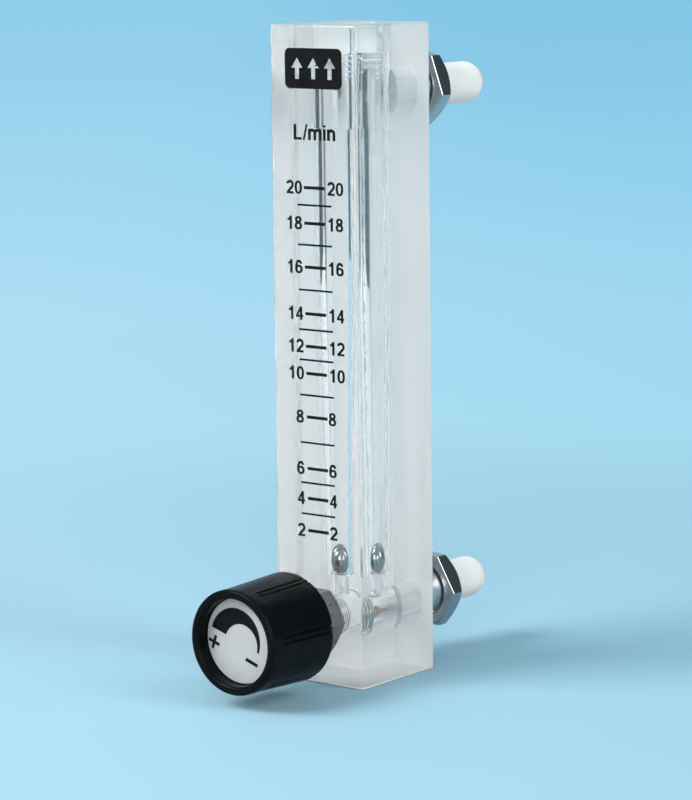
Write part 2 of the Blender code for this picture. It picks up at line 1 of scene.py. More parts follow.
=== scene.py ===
"""Looks of the oxygen flowmeter: acrylic, print, metal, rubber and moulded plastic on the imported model."""
from math import copysign, cos, pi, radians, sin, tan

import bmesh
import bpy
from mathutils import Matrix, Vector


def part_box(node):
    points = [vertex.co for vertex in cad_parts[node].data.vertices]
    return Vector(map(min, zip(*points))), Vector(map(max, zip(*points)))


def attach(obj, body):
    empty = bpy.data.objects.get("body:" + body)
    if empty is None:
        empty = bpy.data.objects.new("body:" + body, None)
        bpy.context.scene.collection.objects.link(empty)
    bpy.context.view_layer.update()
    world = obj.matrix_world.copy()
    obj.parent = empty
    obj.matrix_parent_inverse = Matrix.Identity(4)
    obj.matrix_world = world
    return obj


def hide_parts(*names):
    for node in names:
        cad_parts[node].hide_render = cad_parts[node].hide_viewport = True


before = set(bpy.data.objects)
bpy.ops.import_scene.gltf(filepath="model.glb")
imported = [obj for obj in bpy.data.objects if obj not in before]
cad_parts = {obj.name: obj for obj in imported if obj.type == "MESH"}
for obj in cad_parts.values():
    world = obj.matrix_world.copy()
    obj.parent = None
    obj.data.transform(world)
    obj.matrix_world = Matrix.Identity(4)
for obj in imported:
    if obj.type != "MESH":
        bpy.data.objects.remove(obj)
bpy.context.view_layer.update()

# Anchors read from the frame
BLOCK_LOW, BLOCK_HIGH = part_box("block")
BLOCK_CENTRE = (BLOCK_LOW + BLOCK_HIGH) / 2
BLOCK_SIZE = BLOCK_HIGH - BLOCK_LOW
FRONT = BLOCK_LOW.y
BACK = BLOCK_HIGH.y
BLOCK_DEPTH = BACK - FRONT
TOP = BLOCK_HIGH.z


def middle_of(node):
    """Middle of a CAD node's box."""
    low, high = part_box(node)
    return (low + high) / 2


VALVE_HEIGHT = middle_of("knob_disc").z
OUTLET_HEIGHT = middle_of("outlet_cap").z
BLOCK_AXIS = Matrix.Identity(4)
VALVE_AXIS = Matrix.Translation((0, FRONT, VALVE_HEIGHT)) @ Matrix.Rotation(pi / 2, 4, "X")
INLET_AXIS = Matrix.Translation((0, BACK, VALVE_HEIGHT)) @ Matrix.Rotation(-pi / 2, 4, "X")
OUTLET_AXIS = Matrix.Translation((0, BACK, OUTLET_HEIGHT)) @ Matrix.Rotation(-pi / 2, 4, "X")

# Camera, solved from the photograph
CAMERA_PLACE = Vector((0.3811975, -0.4865544, 0.1490662))
CAMERA_YAW = radians(38.217)
CAMERA_PITCH = radians(8.7675)
CAMERA_ROLL = radians(-0.6533)
CAMERA_LENS = 145.97
CAMERA_SENSOR = 36

# Facets, joins and rounded edges of the pieces
FINE_SEGMENTS = 128
BORE_SEGMENTS = 160
THREAD_SEGMENTS = 96
ROWS_PER_PITCH = 8
AXIS_TOLERANCE = 1e-7
WELD_DISTANCE = 1e-7
SHARP_ANGLE = radians(32)
FLAT_ANGLE = radians(0.5)
SOFT_EDGE = 0.00015
SOFT_STEPS = 4
CORNER_SHARE = 0.45
ROUND_PROFILE = 0.5
OVERRUN = 0.002

# Threads
THREAD_PITCH = 0.001
THREAD_DEPTH = 0.0003
PLUG_THREAD_DEPTH = 0.00012
THREAD_FLAT = 0.15

# Acrylic block
BLOCK_EDGE = 0.0004
BLOCK_EDGE_SEGMENTS = 4
SEAT_HEIGHT = 0.0205
SEAT_RADIUS = 0.002
BORE_BASE_RADIUS = 0.00308
BORE_TOP_RADIUS = 0.004
TAPER_TOP = 0.074
TAPER_CURVE = 1.35
TAPER_ROWS = 24
LEDGE_HEIGHT = 0.1064
PLUG_HOLE_RADIUS = 0.0046
PLUG_THREAD_HIGH = 0.1206
PLUG_THREAD_LOW = 0.1156
PLUG_HOLE_THREAD_DEPTH = 0.0001
PLUG_HOLE_CREST = 0.3
PORT_RADIUS = 0.0042
PORT_DEPTH = 0.0063
CHAMBER_DEPTH = 0.0149
CHAMBER_THREAD_DEPTH = 0.0078
CHAMBER_CLEAR_FROM = 0.0038
ORIFICE_RADIUS = 0.00075
PASSAGE_RADIUS = 0.0012
MOUTH_CHAMFER = 0.0003

# Where the block's faces change their finish
FLAT_NORMAL = 0.9999
EDGE_SHARE = 0.94
BACK_NORMAL = 0.3
SIDE_NORMAL = -0.3
UNDER_NORMAL = -0.1
CLEAR_LIMIT = -0.001
FROSTED_LIMIT = 0.004
FROSTED_ROUGHNESS = 0.5

# Seals and their grooves
SEAL_RADIUS = 0.0005
SEAL_SIDES = 20
GROOVE_HALF = 0.0007

# Plug and float stop
PLUG_RADIUS = 0.0043
PLUG_TOP = 0.1257
PLUG_BOTTOM = 0.1178
PLUG_SEAL_HEIGHT = 0.1191
PLUG_SEAL_RADIUS = 0.004
PLUG_GROOVE_FLOOR = 0.0034
PLUG_SLOT = (4 * PLUG_RADIUS, 0.0012, 0.0032)
PIN_SOCKET_RADIUS = 0.00115
PIN_SOCKET_TOP = 0.1212
PIN_RADIUS = 0.001
PIN_TOP = 0.1209
PIN_BOTTOM = 0.101
PIN_EDGE = 0.0004

# Ball
BALL_SUBDIVISIONS = 5

# Needle valve, with lengths counted outwards from the block's front face
BUSHING_REACH = 0.0076
BUSHING_RADIUS = 0.00405
HEX_SIDES = 6
HEX_LOW = 0.0003
HEX_HIGH = 0.0055
HEX_FLATS = 0.012
HEX_INSET = 0.0003
HEX_CHAMFER_ANGLE = radians(30)
NECK_RADIUS = 0.0046
NECK_END = 0.0103
STEM_BORE = 0.00285
SHANK_BORE = 0.00235
STEM_STEP = 0.0016
BUSHING_SEAL_INNER = 0.0039
BUSHING_SEAL_OUTER = 0.0054
BUSHING_SEAL_FLOOR = 0.0013
BUSHING_SEAL_RADIUS = 0.0048
BUSHING_SEAL_HEIGHT = 0.0006
SHANK_RADIUS = 0.0021
STEM_SEAL_HEIGHT = -0.006
STEM_SEAL_RADIUS = 0.00175
STEM_GROOVE_FLOOR = 0.00115
STEM_THREAD_RADIUS = 0.0027
STEM_THREAD_PITCH = 0.00075
STEM_THREAD_HIGH = 0.0088
STEM_THREAD_LOW = -0.001
STEM_TOP = 0.0201
STEM_END_RADIUS = 0.002
STEM_HOLE_RADIUS = 0.00085
STEM_HOLE_FLOOR = 0.0143
STEM_FLAT = 0.0014
STEM_FLAT_LOW = 0.0111
STEM_EDGE = 0.00008
NEEDLE = (
    (SHANK_RADIUS, -0.0073), (0.00145, -0.0073), (0.00145, -0.0109), (0.00205, -0.0109), (0.00205, -0.0115),
    (0.00012, -0.0159), (0, -0.0159),
)

# Knob, with lengths counted the same way
KNOB_REAR = 0.0089
KNOB_FRONT = 0.0263
KNOB_REAR_RADIUS = 0.0106
KNOB_FRONT_RADIUS = 0.01005
KNOB_COLLAR = 0.003
KNOB_CHAMFER = 0.0004
KNOB_EDGE = 0.0003
COLLAR_EDGE = 0.0008
COLLAR_STEPS = 8
RECESS_RADIUS = 0.0083
RECESS_FLOOR = 0.0228
CAVITY_RADIUS = 0.00825
CAVITY_TOP = 0.0206
HUB_RADIUS = 0.0046
HUB_LOW = 0.0111
HUB_BORE = 0.0023
HUB_BORE_TOP = 0.0204
SCREW_HOLE = 0.00115
HEAD_HOLE = 0.0024
HEAD_SEAT = 0.0211
RIB_COUNT = 132
RIB_SAMPLES = 8
RIB_DEPTH = 0.000018
RIB_ROWS = 4
RIB_RUNOUT = 0.0005
RIB_REAR_SHARE = 0.3
GROOVE_GROUPS = 6
GROOVE_ANGLES = (radians(3), radians(9))
GROOVE_HALF_ANGLE = radians(1.7)
GROOVE_DEPTH = 0.00038
DISC_FACE = 0.0236
DISC_RADIUS = 0.00815
DISC_THICKNESS = 0.0005
DISC_EDGE = 0.0001

# Rear fittings, with lengths counted outwards from the block's back face
SPIGOT_RADIUS = 0.0039
SPIGOT_REACH = 0.0045
SPIGOT_SEAL_HEIGHT = -0.0022
SPIGOT_SEAL_RADIUS = 0.0036
SPIGOT_GROOVE_FLOOR = 0.003
FITTING_BORE = 0.0015
FITTING_EDGE = 0.00012
BARREL_RADIUS = 0.005
BARREL_LOW = 0.0003
BARREL_END = 0.0142
BARREL_CHAMFER = 0.0005
BARREL_THREAD_LOW = 0.0008
BARREL_THREAD_DEPTH = 0.00003
BARB_END = 0.0246
BARB_RADIUS = 0.0032
BARB_ROOT = 0.0026
BARB_COUNT = 3
BARB_PITCH = 0.0026
BARB_LAND = 0.0004
NUT_FLATS = 0.014
NUT_THICKNESS = 0.004
NUT_BORE = 0.0053
INLET_NUT_PLACE = 0.0099
OUTLET_NUT_PLACE = 0.0074
INLET_NUT_TURN = 0
OUTLET_NUT_TURN = radians(10.5)
NUT_CHAMFER_ANGLE = radians(45)
NUT_EDGE = 0.00035
NUT_EDGE_SEGMENTS = 2
CAP_RADIUS = 0.0041
CAP_WALL = 0.0006
CAP_START = 0.0145
CAP_DOME_CENTRE = 0.0247
CAP_DOME_STEPS = 24
CAP_BEAD = 0.0001
CAP_BEAD_END = 0.0009
CAP_WALL_START = 0.0012
CAP_EDGE = 0.0003

# Print on the front face: heights of the scale's marks in metres, from 2 to 20 litres a minute
INK_THICKNESS = 0.00003
INK_GAP = 0.00001
SCALE_HEIGHTS = {
    2: 0.02967, 3: 0.03291, 4: 0.03593, 5: 0.03895, 6: 0.04174, 7: 0.04674, 8: 0.05171, 9: 0.05592,
    10: 0.06010, 11: 0.06270, 12: 0.06531, 13: 0.06850, 14: 0.07155, 15: 0.07608, 16: 0.08044,
    17: 0.08467, 18: 0.08878, 19: 0.09221, 20: 0.09552,
}
EVEN_MARK = (0.0050, 0.0006)
ODD_MARK = (0.0082, 0.00037)
TWO_DIGITS_PLACES = (-0.00485, 0.00505)
ONE_DIGIT_PLACES = (-0.00415, 0.0037)
DIGIT_HEIGHT = 0.00255
TWO_DIGITS_WIDTH = 0.0038
UNIT_PLACE = (0.0002, 0.10595)
UNIT_SIZE = (0.01, 0.0029)
EMBLEM_PLACE = (0.0001, 0.1179)
EMBLEM_SIZE = (0.0136, 0.0076)
EMBLEM_ROUND = 0.0011
EMBLEM_STEPS = 8
ARROW_COUNT = 3
ARROW_SIZE = (0.0027, 0.0040)
ARROW_STEP = 0.0039
ARROW_STEM_SHARE = 0.36
ARROW_NECK_SHARE = 0.05

# Strokes of the letters and digits, which are one unit high
STEM_WIDTH = 0.215
CURVE_WIDTH = 0.95 * STEM_WIDTH
BAR_WIDTH = 0.165
BAR_LOW = BAR_WIDTH / 2
BAR_HIGH = 1 - BAR_LOW
SLASH_WIDTH = 0.85 * BAR_WIDTH
STEM_PLACE = 0.10
BAR_START = 0.02
X_HEIGHT = 0.74
DIGIT_ADVANCE = 0.777
ADVANCES = {"L": 0.78, "/": 0.39, "i": 0.33, "n": 0.78, "m": 1.20}
MITRE_LIMIT = 0.5
ARCH_START = 165
GLYPH_STEPS = 24
GLYPH_SQUARENESS = 0.88

# Print on the knob's disc, from the disc's middle
CRESCENT_OUTER = (Vector((-0.00129, 0.00014)), 0.00595, radians(163.7), radians(-20))
CRESCENT_INNER = (Vector((0.00007, -0.00077)), 0.00394, radians(-15), radians(157))
PLUS_PLACE = Vector((-0.0065, -0.00102))
PLUS_ARM = (0.0027, 0.0006)
MINUS_PLACE = Vector((0.00257, -0.00382))
MINUS_ARM = (0.00296, 0.00068)
SIGN_TURN = radians(-19)
CRESCENT_STEPS = 48

# Materials, with noise scales in waves a metre and spreads as shares of the roughness
EVEN = (1, 1, 1)
ACRYLIC_IOR = 1.49
ACRYLIC_GRAIN = 900
METAL_GRAIN = 1400
METAL_TONE_SCALE = 260
PLASTIC_TONE_SCALE = 180
NOISE_DETAIL = 3
NOISE_RANGE = (0.3, 0.7)
ACRYLIC_SPREAD = (0.7, 1.3)
METAL_SPREAD = (0.8, 1.25)
PLASTIC_SPREAD = (0.85, 1.15)
METAL_DARK_SHARE = 0.93
GRAIN_DEPTH = 0.00002
TOOL_MARK_DEPTH = 0.00001
SUBSURFACE_RADIUS = (0.9, 0.9, 1.0)
SUBSURFACE_SCALE = 0.0012

# Floor, with painted falloff that darkens it away from the object and painted side light from left to right
FLOOR_RADIUS = 9
FLOOR_GAP = 0.0001
FLOOR_ROUGHNESS = 0.8
FLOOR_SPECULAR = 0.2
# Painted falloff of lamp light: the floor's colour darkens with distance from the object
FLOOR_PAINTED_FALLOFF = (
    (0.15, (0.415, 0.73, 0.885, 1)), (0.56, (0.386, 0.709, 0.89, 1)), (1.05, (0.328, 0.665, 0.863, 1)),
    (2.2, (0.276, 0.607, 0.819, 1)), (4.0, (0.252, 0.591, 0.803, 1)),
)
FLOOR_LIT_SHARE = (0.735, 0.70, 0.715, 1)
FLOOR_FADE = (0.10, 0.32)
# Painted side light: the floor is lighter towards the camera's left and darker towards its right
FLOOR_PAINTED_SIDE_LIGHT = ((1.10, 1.04, 1.02, 1), (0.90, 0.96, 0.98, 1))
FLOOR_PAINTED_SIDE_REACH = 0.2
FLOOR_BOUNCE = (0.385, 0.41, 0.425)

# Cards, as name, colour, whether mirrors show them as acrylic does, and corners
# The black cards are painted shade: they stand for the unlit room at the left and behind, and show only
# through the acrylic, the left one also in mirrors
BLACK_CARD_PAINTED_SHADE = (0.012, 0.014, 0.016)
WHITE_CARD = (0.52, 0.56, 0.58)
CARDS = (
    ("left_black_card", BLACK_CARD_PAINTED_SHADE, True,
     ((-0.52, -0.28, 0.012), (-0.52, 0.32, 0.003), (-0.52, 0.32, 0.4), (-0.52, -0.28, 0.4))),
    ("left_white_card", WHITE_CARD, True,
     ((-0.52, -0.9, 0), (-0.52, -0.28, 0), (-0.52, -0.28, 0.4), (-0.52, -0.9, 0.4))),
    ("left_floor_card", WHITE_CARD, True,
     ((-0.7, -0.6, 0.001), (-0.03, -0.6, 0.001), (-0.03, 0.4, 0.001), (-0.7, 0.4, 0.001))),
    ("right_black_card", BLACK_CARD_PAINTED_SHADE, False,
     ((0.27, 0.61, 0), (0.57, 0.35, 0), (0.57, 0.35, 0.25), (0.27, 0.61, 0.25))),
)

# Light: lamps as name, place, size in metres and power in watts, and a world with one dark part
LAMPS = (
    ("key_lamp", (-0.55, -0.80, 1.0), (0.7, 0.7), 18),
    ("side_lamp", (1.2, 0.1, 0.8), (0.6, 0.9), 9),
    ("front_lamp", (0.8, -1.2, 0.5), (0.9, 0.7), 10),
)
LAMP_AIM = Vector((0, 0, 0.06))
LAMP_COLOUR = (1.02, 0.945, 0.89)
WORLD_COLOUR = (0.64, 0.92, 1.02, 1)
WORLD_DARK = (0.10, 0.14, 0.16, 1)
WORLD_STRENGTH = 0.66
DARK_DIRECTION = Vector((0.40, 0.70, 0.60)).normalized()
DARK_EDGES = (cos(radians(46)), cos(radians(30)))
LIGHT_BOUNCES = {"max": 48, "transmission": 32, "glossy": 40, "diffuse": 24}


def soften(points, radius=SOFT_EDGE, steps=SOFT_STEPS):
    """Round the corners of a profile, apart from its two ends."""
    result = [points[0]]
    for corners in zip(points, points[1:], points[2:]):
        before, here, after = map(Vector, corners)
        reach = min(radius, (here - before).length * CORNER_SHARE, (after - here).length * CORNER_SHARE)
        start = here + (before - here).normalized() * reach
        end = here + (after - here).normalized() * reach
        for step in range(steps + 1):
            share = step / steps
            corner = start.lerp(here, share).lerp(here.lerp(end, share), share)
            result.append((corner.x, corner.y))
    return result + [points[-1]]


def finished_mesh(bm):
    """Turn what was built into a mesh."""
    mesh = bpy.data.meshes.new("mesh")
    bm.to_mesh(mesh)
    bm.free()
    return mesh


def lathe(points, segments=FINE_SEGMENTS, closed=False, wave=None):
    """Turn (radius, height) points about local Z. A third value is the depth of a wave at that row."""
    bm = bmesh.new()
    rings = []
    for radius, height, *depth in points:
        if radius < AXIS_TOLERANCE:
            rings.append([bm.verts.new((0, 0, height))])
            continue
        ring = []
        for index in range(segments):
            angle = 2 * pi * index / segments
            reach = radius - (depth[0] * wave(angle, height) if depth else 0)
            ring.append(bm.verts.new((reach * cos(angle), reach * sin(angle), height)))
        rings.append(ring)
    following = rings[1:] + (rings[:1] if closed else [])
    for first, second in zip(rings, following):
        for index in range(segments):
            after = index + 1
            corners = [first[index % len(first)], first[after % len(first)],
                       second[after % len(second)], second[index % len(second)]]
            bm.faces.new(list(dict.fromkeys(corners)))
    bmesh.ops.recalc_face_normals(bm, faces=bm.faces[:])
    return finished_mesh(bm)


def arc_points(centre, radius, start, end, steps):
    """Points of an arc."""
    x, y = centre
    angles = [start + (end - start) * step / steps for step in range(steps + 1)]
    return [(x + radius * cos(angle), y + radius * sin(angle)) for angle in angles]


def thread_wave(pitch=THREAD_PITCH, crest=THREAD_FLAT, root=THREAD_FLAT):
    """Depth of a right-handed thread at an angle and a height, from 0 at the crest to 1 at the root."""
    def wave(angle, height):
        turn = (height / pitch - angle / (2 * pi)) % 1
        slope = abs(2 * turn - 1)
        return min(max((slope - crest) / (1 - crest - root), 0), 1)
    return wave


def thread_rows(radius, high, low, depth, pitch=THREAD_PITCH):
    """Rows of a threaded stretch, from high to low, that fade in and out over half a pitch."""
    count = round((high - low) / pitch * ROWS_PER_PITCH)
    rows = []
    for index in range(count + 1):
        height = high + (low - high) * index / count
        fade = min(high - height, height - low) / (pitch / 2)
        rows.append((radius, height, depth * min(fade, 1)))
    return rows


def groove_points(radius, height, floor):
    """Points down a seal's groove in a rod."""
    high = height + GROOVE_HALF
    low = height - GROOVE_HALF
    return [(radius, high), (floor, high), (floor, low), (radius, low)]


def start_box(centre, size):
    """Start a box about a centre."""
    bm = bmesh.new()
    bmesh.ops.create_cube(bm, size=1, matrix=Matrix.Translation(centre) @ Matrix.Diagonal((*size, 1)))
    return bm


def add_object(name, data):
    """Put a mesh, a curve, a lamp or a camera in the scene."""
    data.name = name
    obj = bpy.data.objects.new(name, data)
    bpy.context.scene.collection.objects.link(obj)
    return obj


def evaluated_mesh(obj):
    """Replace an object by its mesh after modifiers."""
    bpy.context.view_layer.update()
    mesh = bpy.data.meshes.new_from_object(obj.evaluated_get(bpy.context.evaluated_depsgraph_get()))
    bpy.data.objects.remove(obj)
    return mesh


def combine(mesh, tool, operation="DIFFERENCE"):
    """Cut, join or limit a mesh with another one."""
    cutter = add_object("tool", tool)
    blank = add_object("blank", mesh)
    boolean = blank.modifiers.new("Cut", "BOOLEAN")
    boolean.operation = operation
    boolean.object = cutter
    result = evaluated_mesh(blank)
    bpy.data.objects.remove(cutter)
    return result


def shade(mesh):
    """Shade a mesh smooth, with sharp edges where it bends strongly."""
    mesh.shade_smooth()
    mesh.set_sharp_from_angle(angle=SHARP_ANGLE)


def place_piece(name, mesh, axis, body, slot, node, *materials):
    """Place a mesh on its axis as a piece that rides on a body and may replace a CAD node."""
    mesh.transform(axis)
    for material in materials:
        mesh.materials.append(material)
    piece = add_object(name, mesh)
    if node:
        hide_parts(node)
    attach(piece, body)


def add_piece(name, mesh, *rest):
    """Shade a mesh and place it as a piece."""
    shade(mesh)
    place_piece(name, mesh, *rest)


def set_inputs(tree, node, inputs):
    """Set a node's inputs to values, or link them to outputs."""
    for key, value in inputs.items():
        if isinstance(value, bpy.types.NodeSocket):
            tree.links.new(value, node.inputs[key])
        else:
            node.inputs[key].default_value = value


def add_node(tree, kind, inputs, **settings):
    """Add a node with its settings and its inputs."""
    node = tree.nodes.new("ShaderNode" + kind)
    for name, value in settings.items():
        setattr(node, name, value)
    set_inputs(tree, node, inputs)
    return node


def place_on(tree, kind="Object"):
    """Place of a point in the object's own or other coordinates."""
    return tree.nodes.new("ShaderNodeTexCoord").outputs[kind]


def place_along(tree, place, direction):
    """How far a place lies along a direction."""
    return add_node(tree, "VectorMath", {0: place, 1: direction}, operation="DOT_PRODUCT").outputs["Value"]


def map_range(tree, value, start, end, low=0, high=1, interpolation="SMOOTHSTEP"):
    """Let a value move from low to high between a start and an end."""
    inputs = {"Value": value, "From Min": start, "From Max": end, "To Min": low, "To Max": high}
    return add_node(tree, "MapRange", inputs, interpolation_type=interpolation).outputs["Result"]


def mix_colours(tree, factor, first, second, blend="MIX"):
    """Mix two colours by a factor."""
    inputs = {"Factor": factor, "A": first, "B": second}
    return add_node(tree, "Mix", inputs, data_type="RGBA", blend_type=blend).outputs["Result"]


def colour_ramp(tree, value, stops):
    """Run through colours, each at its place along a value."""
    ramp = add_node(tree, "ValToRGB", {"Fac": value})
    elements = ramp.color_ramp.elements
    elements.remove(elements[-1])
    for index, (place, colour) in enumerate(stops):
        element = elements.new(place) if index else elements[0]
        element.position = place
        element.color = colour
    return ramp.outputs["Color"]


def add_noise(tree, scale, stretch=EVEN):
    """Add a noise on the object, in waves a metre, stretched by axis."""
    waves = [scale * share for share in stretch]
    mapping = add_node(tree, "Mapping", {"Vector": place_on(tree), "Scale": waves})
    inputs = {"Vector": mapping.outputs["Vector"], "Scale": 1, "Detail": NOISE_DETAIL}
    return add_node(tree, "TexNoise", inputs).outputs["Fac"]


def make_material(name, colour, roughness, inputs):
    """Start a material, and return it with its node tree and its shader."""
    material = bpy.data.materials.new(name)
    material.use_nodes = True
    tree = material.node_tree
    shader = tree.nodes["Principled BSDF"]
    set_inputs(tree, shader, {"Base Color": (*colour, 1), "Roughness": roughness, **inputs})
    return material, tree, shader


def grained(name, colour, roughness, spread, scale, streaks, bump, inputs, depth=GRAIN_DEPTH):
    """Start a material with a grain in its roughness and, if so wished, its surface."""
    material, tree, shader = make_material(name, colour, roughness, inputs)
    grain = add_noise(tree, scale, streaks)
    limits = [roughness * share for share in spread]
    varied = {"Roughness": map_range(tree, grain, *NOISE_RANGE, *limits, "LINEAR")}
    if bump:
        raised = add_node(tree, "Bump", {"Strength": bump, "Distance": depth, "Height": grain})
        varied["Normal"] = raised.outputs["Normal"]
    set_inputs(tree, shader, varied)
    return material, tree, shader


def vary_colour(tree, shader, scale, dark, light):
    """Let a broad noise move the colour between two tones."""
    stops = [(place, (*tone, 1)) for place, tone in zip(NOISE_RANGE, (dark, light))]
    set_inputs(tree, shader, {"Base Color": colour_ramp(tree, add_noise(tree, scale), stops)})


def acrylic(name, colour, roughness, transmission=0, streaks=EVEN, bump=0, specular=0.5):
    """Acrylic with a share that lets light through, and machining streaks."""
    inputs = {"Specular IOR Level": specular, "Transmission Weight": transmission, "IOR": ACRYLIC_IOR}
    material, _, _ = grained(name, colour, roughness, ACRYLIC_SPREAD, ACRYLIC_GRAIN, streaks, bump, inputs)
    return material


def frost_behind(material, start, end, roughness):
    """Let clear acrylic turn white and rough between two places along Y."""
    tree = material.node_tree
    shader = tree.nodes["Principled BSDF"]
    place = add_node(tree, "SeparateXYZ", {"Vector": place_on(tree)}).outputs["Y"]
    for name, frosted in (("Transmission Weight", 0), ("Roughness", roughness)):
        clear = shader.inputs[name].default_value
        set_inputs(tree, shader, {name: map_range(tree, place, start, end, clear, frosted)})


def metal(name, colour, roughness, bump, streaks=EVEN):
    """Metal with fine tool marks."""
    material, tree, shader = grained(name, colour, roughness, METAL_SPREAD, METAL_GRAIN, streaks, bump,
                                     {"Metallic": 1}, TOOL_MARK_DEPTH)
    vary_colour(tree, shader, METAL_TONE_SCALE, [tone * METAL_DARK_SHARE for tone in colour], colour)
    return material


def plastic(name, dark, light, roughness, grain, bump, subsurface=0, specular=0.5):
    """Moulded plastic or rubber with a fine grain."""
    inputs = {"Specular IOR Level": specular, "Subsurface Weight": subsurface,
              "Subsurface Radius": SUBSURFACE_RADIUS, "Subsurface Scale": SUBSURFACE_SCALE}
    material, tree, shader = grained(name, light, roughness, PLASTIC_SPREAD, grain, EVEN, bump, inputs)
    vary_colour(tree, shader, PLASTIC_TONE_SCALE, dark, light)
    return material


POLISHED = acrylic("acrylic_polished", (1, 1, 1), roughness=0.01, transmission=0.96, streaks=(1, 1, 0.4))
MILLED = acrylic("acrylic_milled", (0.996, 0.998, 1), roughness=0.5, streaks=(1, 1, 0.12), bump=0.25)
BORED = acrylic("acrylic_bored", (1, 1, 1), roughness=0.008, transmission=1, streaks=(0.3, 0.3, 0.3))
DRILLED = acrylic("acrylic_drilled", (0.96, 0.97, 0.98), roughness=0.5, transmission=0.6, bump=0.05)
CHAMBER = acrylic("acrylic_chamber", (0.97, 0.965, 0.98), roughness=0.08, transmission=0.9)
CEMENTED = acrylic("acrylic_cemented", (0.998, 0.999, 1), roughness=0.6, bump=0.05, specular=0)
SIDE = acrylic("acrylic_side", (0.998, 0.999, 1), roughness=0.03, transmission=0.94, streaks=(1, 1, 0.4))
frost_behind(SIDE, CLEAR_LIMIT, FROSTED_LIMIT, FROSTED_ROUGHNESS)
# Rough sawn underside, whose grey is painted shade along the bottom of the block
SAWN_PAINTED_SHADE = acrylic("acrylic_sawn_painted_shade", (0.85, 0.86, 0.87), roughness=0.5, streaks=(1, 0.12, 1), bump=0.25)
TURNED_ACRYLIC = acrylic("acrylic_turned", (0.996, 0.998, 1), roughness=0.4, transmission=0.4,
                         streaks=(0.3, 0.3, 2), bump=0.1)
STEEL = metal("polished_steel", (0.26, 0.27, 0.28), roughness=0.05, bump=0.02)
NICKEL = metal("satin_nickel", (0.17, 0.18, 0.185), roughness=0.30, bump=0.15, streaks=(1, 0.25, 1))
BRASS = metal("turned_brass", (0.72, 0.50, 0.40), roughness=0.28, bump=0.2, streaks=(0.3, 2, 0.3))
ZINC = metal("zinc_plate", (0.66, 0.67, 0.68), roughness=0.30, bump=0.1)
CHROME = metal("chrome_turned", (0.82, 0.83, 0.84), roughness=0.34, bump=0.12, streaks=(0.3, 2, 0.3))
CHROME_FLATS = metal("chrome_flats", (0.52, 0.53, 0.545), roughness=0.11, bump=0.08, streaks=(1, 0.3, 1))
SEAL_RUBBER = plastic("white_seal_rubber", (0.80, 0.80, 0.78), (0.86, 0.86, 0.84), roughness=0.45,
                      grain=1500, bump=0.1)
CAP_RUBBER = plastic("white_cap_rubber", (0.82, 0.83, 0.84), (0.88, 0.89, 0.90), roughness=0.42,
                     grain=1200, bump=0.12, subsurface=0.6)
KNOB_PLASTIC = plastic("black_knob_plastic", (0.003, 0.0035, 0.004), (0.0045, 0.0055, 0.0065),
                       roughness=0.24, grain=2600, bump=0.01, specular=0.05)
DISC_FOIL = plastic("silver_disc_foil", (0.40, 0.42, 0.43), (0.45, 0.47, 0.48), roughness=0.38, grain=1800,
                    bump=0.05)
INK = plastic("black_ink", (0.003, 0.0035, 0.004), (0.006, 0.007, 0.008), roughness=0.5,
              grain=2500, bump=0.1, specular=0.1)
BLOCK_FINISHES = (POLISHED, MILLED, BORED, DRILLED, CHAMBER, SIDE, CEMENTED, SAWN_PAINTED_SHADE)


def make_seal(name, node, ring_radius, height, axis, body):
    """Seal ring, turned from a round section."""
    section = []
    for index in range(SEAL_SIDES):
        angle = 2 * pi * index / SEAL_SIDES
        section.append((ring_radius + SEAL_RADIUS * cos(angle), height + SEAL_RADIUS * sin(angle)))
    add_piece(name, lathe(section, THREAD_SEGMENTS, closed=True), axis, body, "white_seal", node,
              SEAL_RUBBER)


def break_edges(mesh, height):
    """Bevel the edges that lie in the plane of a nut's near face."""
    bm = bmesh.new()
    bm.from_mesh(mesh)
    bmesh.ops.dissolve_limit(bm, angle_limit=FLAT_ANGLE, verts=bm.verts[:], edges=bm.edges[:])
    near = [edge for edge in bm.edges
            if all(abs(vert.co.z - height) < SOFT_EDGE / 2 for vert in edge.verts)]
    bmesh.ops.bevel(bm, geom=near, offset=NUT_EDGE, segments=NUT_EDGE_SEGMENTS, profile=ROUND_PROFILE,
                    affect="EDGES")
    return finished_mesh(bm)


def hexagon(flats, low, high, turn=0, slope=HEX_CHAMFER_ANGLE, both_ends=True):
    """Hexagon with a corner along X, and a cone at its top or at both ends."""
    corner = flats / 2 / cos(pi / HEX_SIDES)
    bm = bmesh.new()
    place = (Matrix.Rotation(turn + pi / HEX_SIDES, 4, "Z") @
             Matrix.Translation((0, 0, (low + high) / 2)))
    bmesh.ops.create_cone(bm, cap_ends=True, segments=HEX_SIDES, radius1=corner, radius2=corner,
                          depth=high - low + OVERRUN, matrix=place)
    face = flats / 2 - HEX_INSET
    outer = corner + HEX_INSET
    drop = (outer - face) * tan(slope)
    bottom = [(outer, low + drop), (face, low)] if both_ends else [(outer, low)]
    cone = lathe([(0, high), (face, high), (outer, high - drop), *bottom, (0, low)])
    mesh = combine(finished_mesh(bm), cone, "INTERSECT")
    return mesh if both_ends else break_edges(mesh, low)


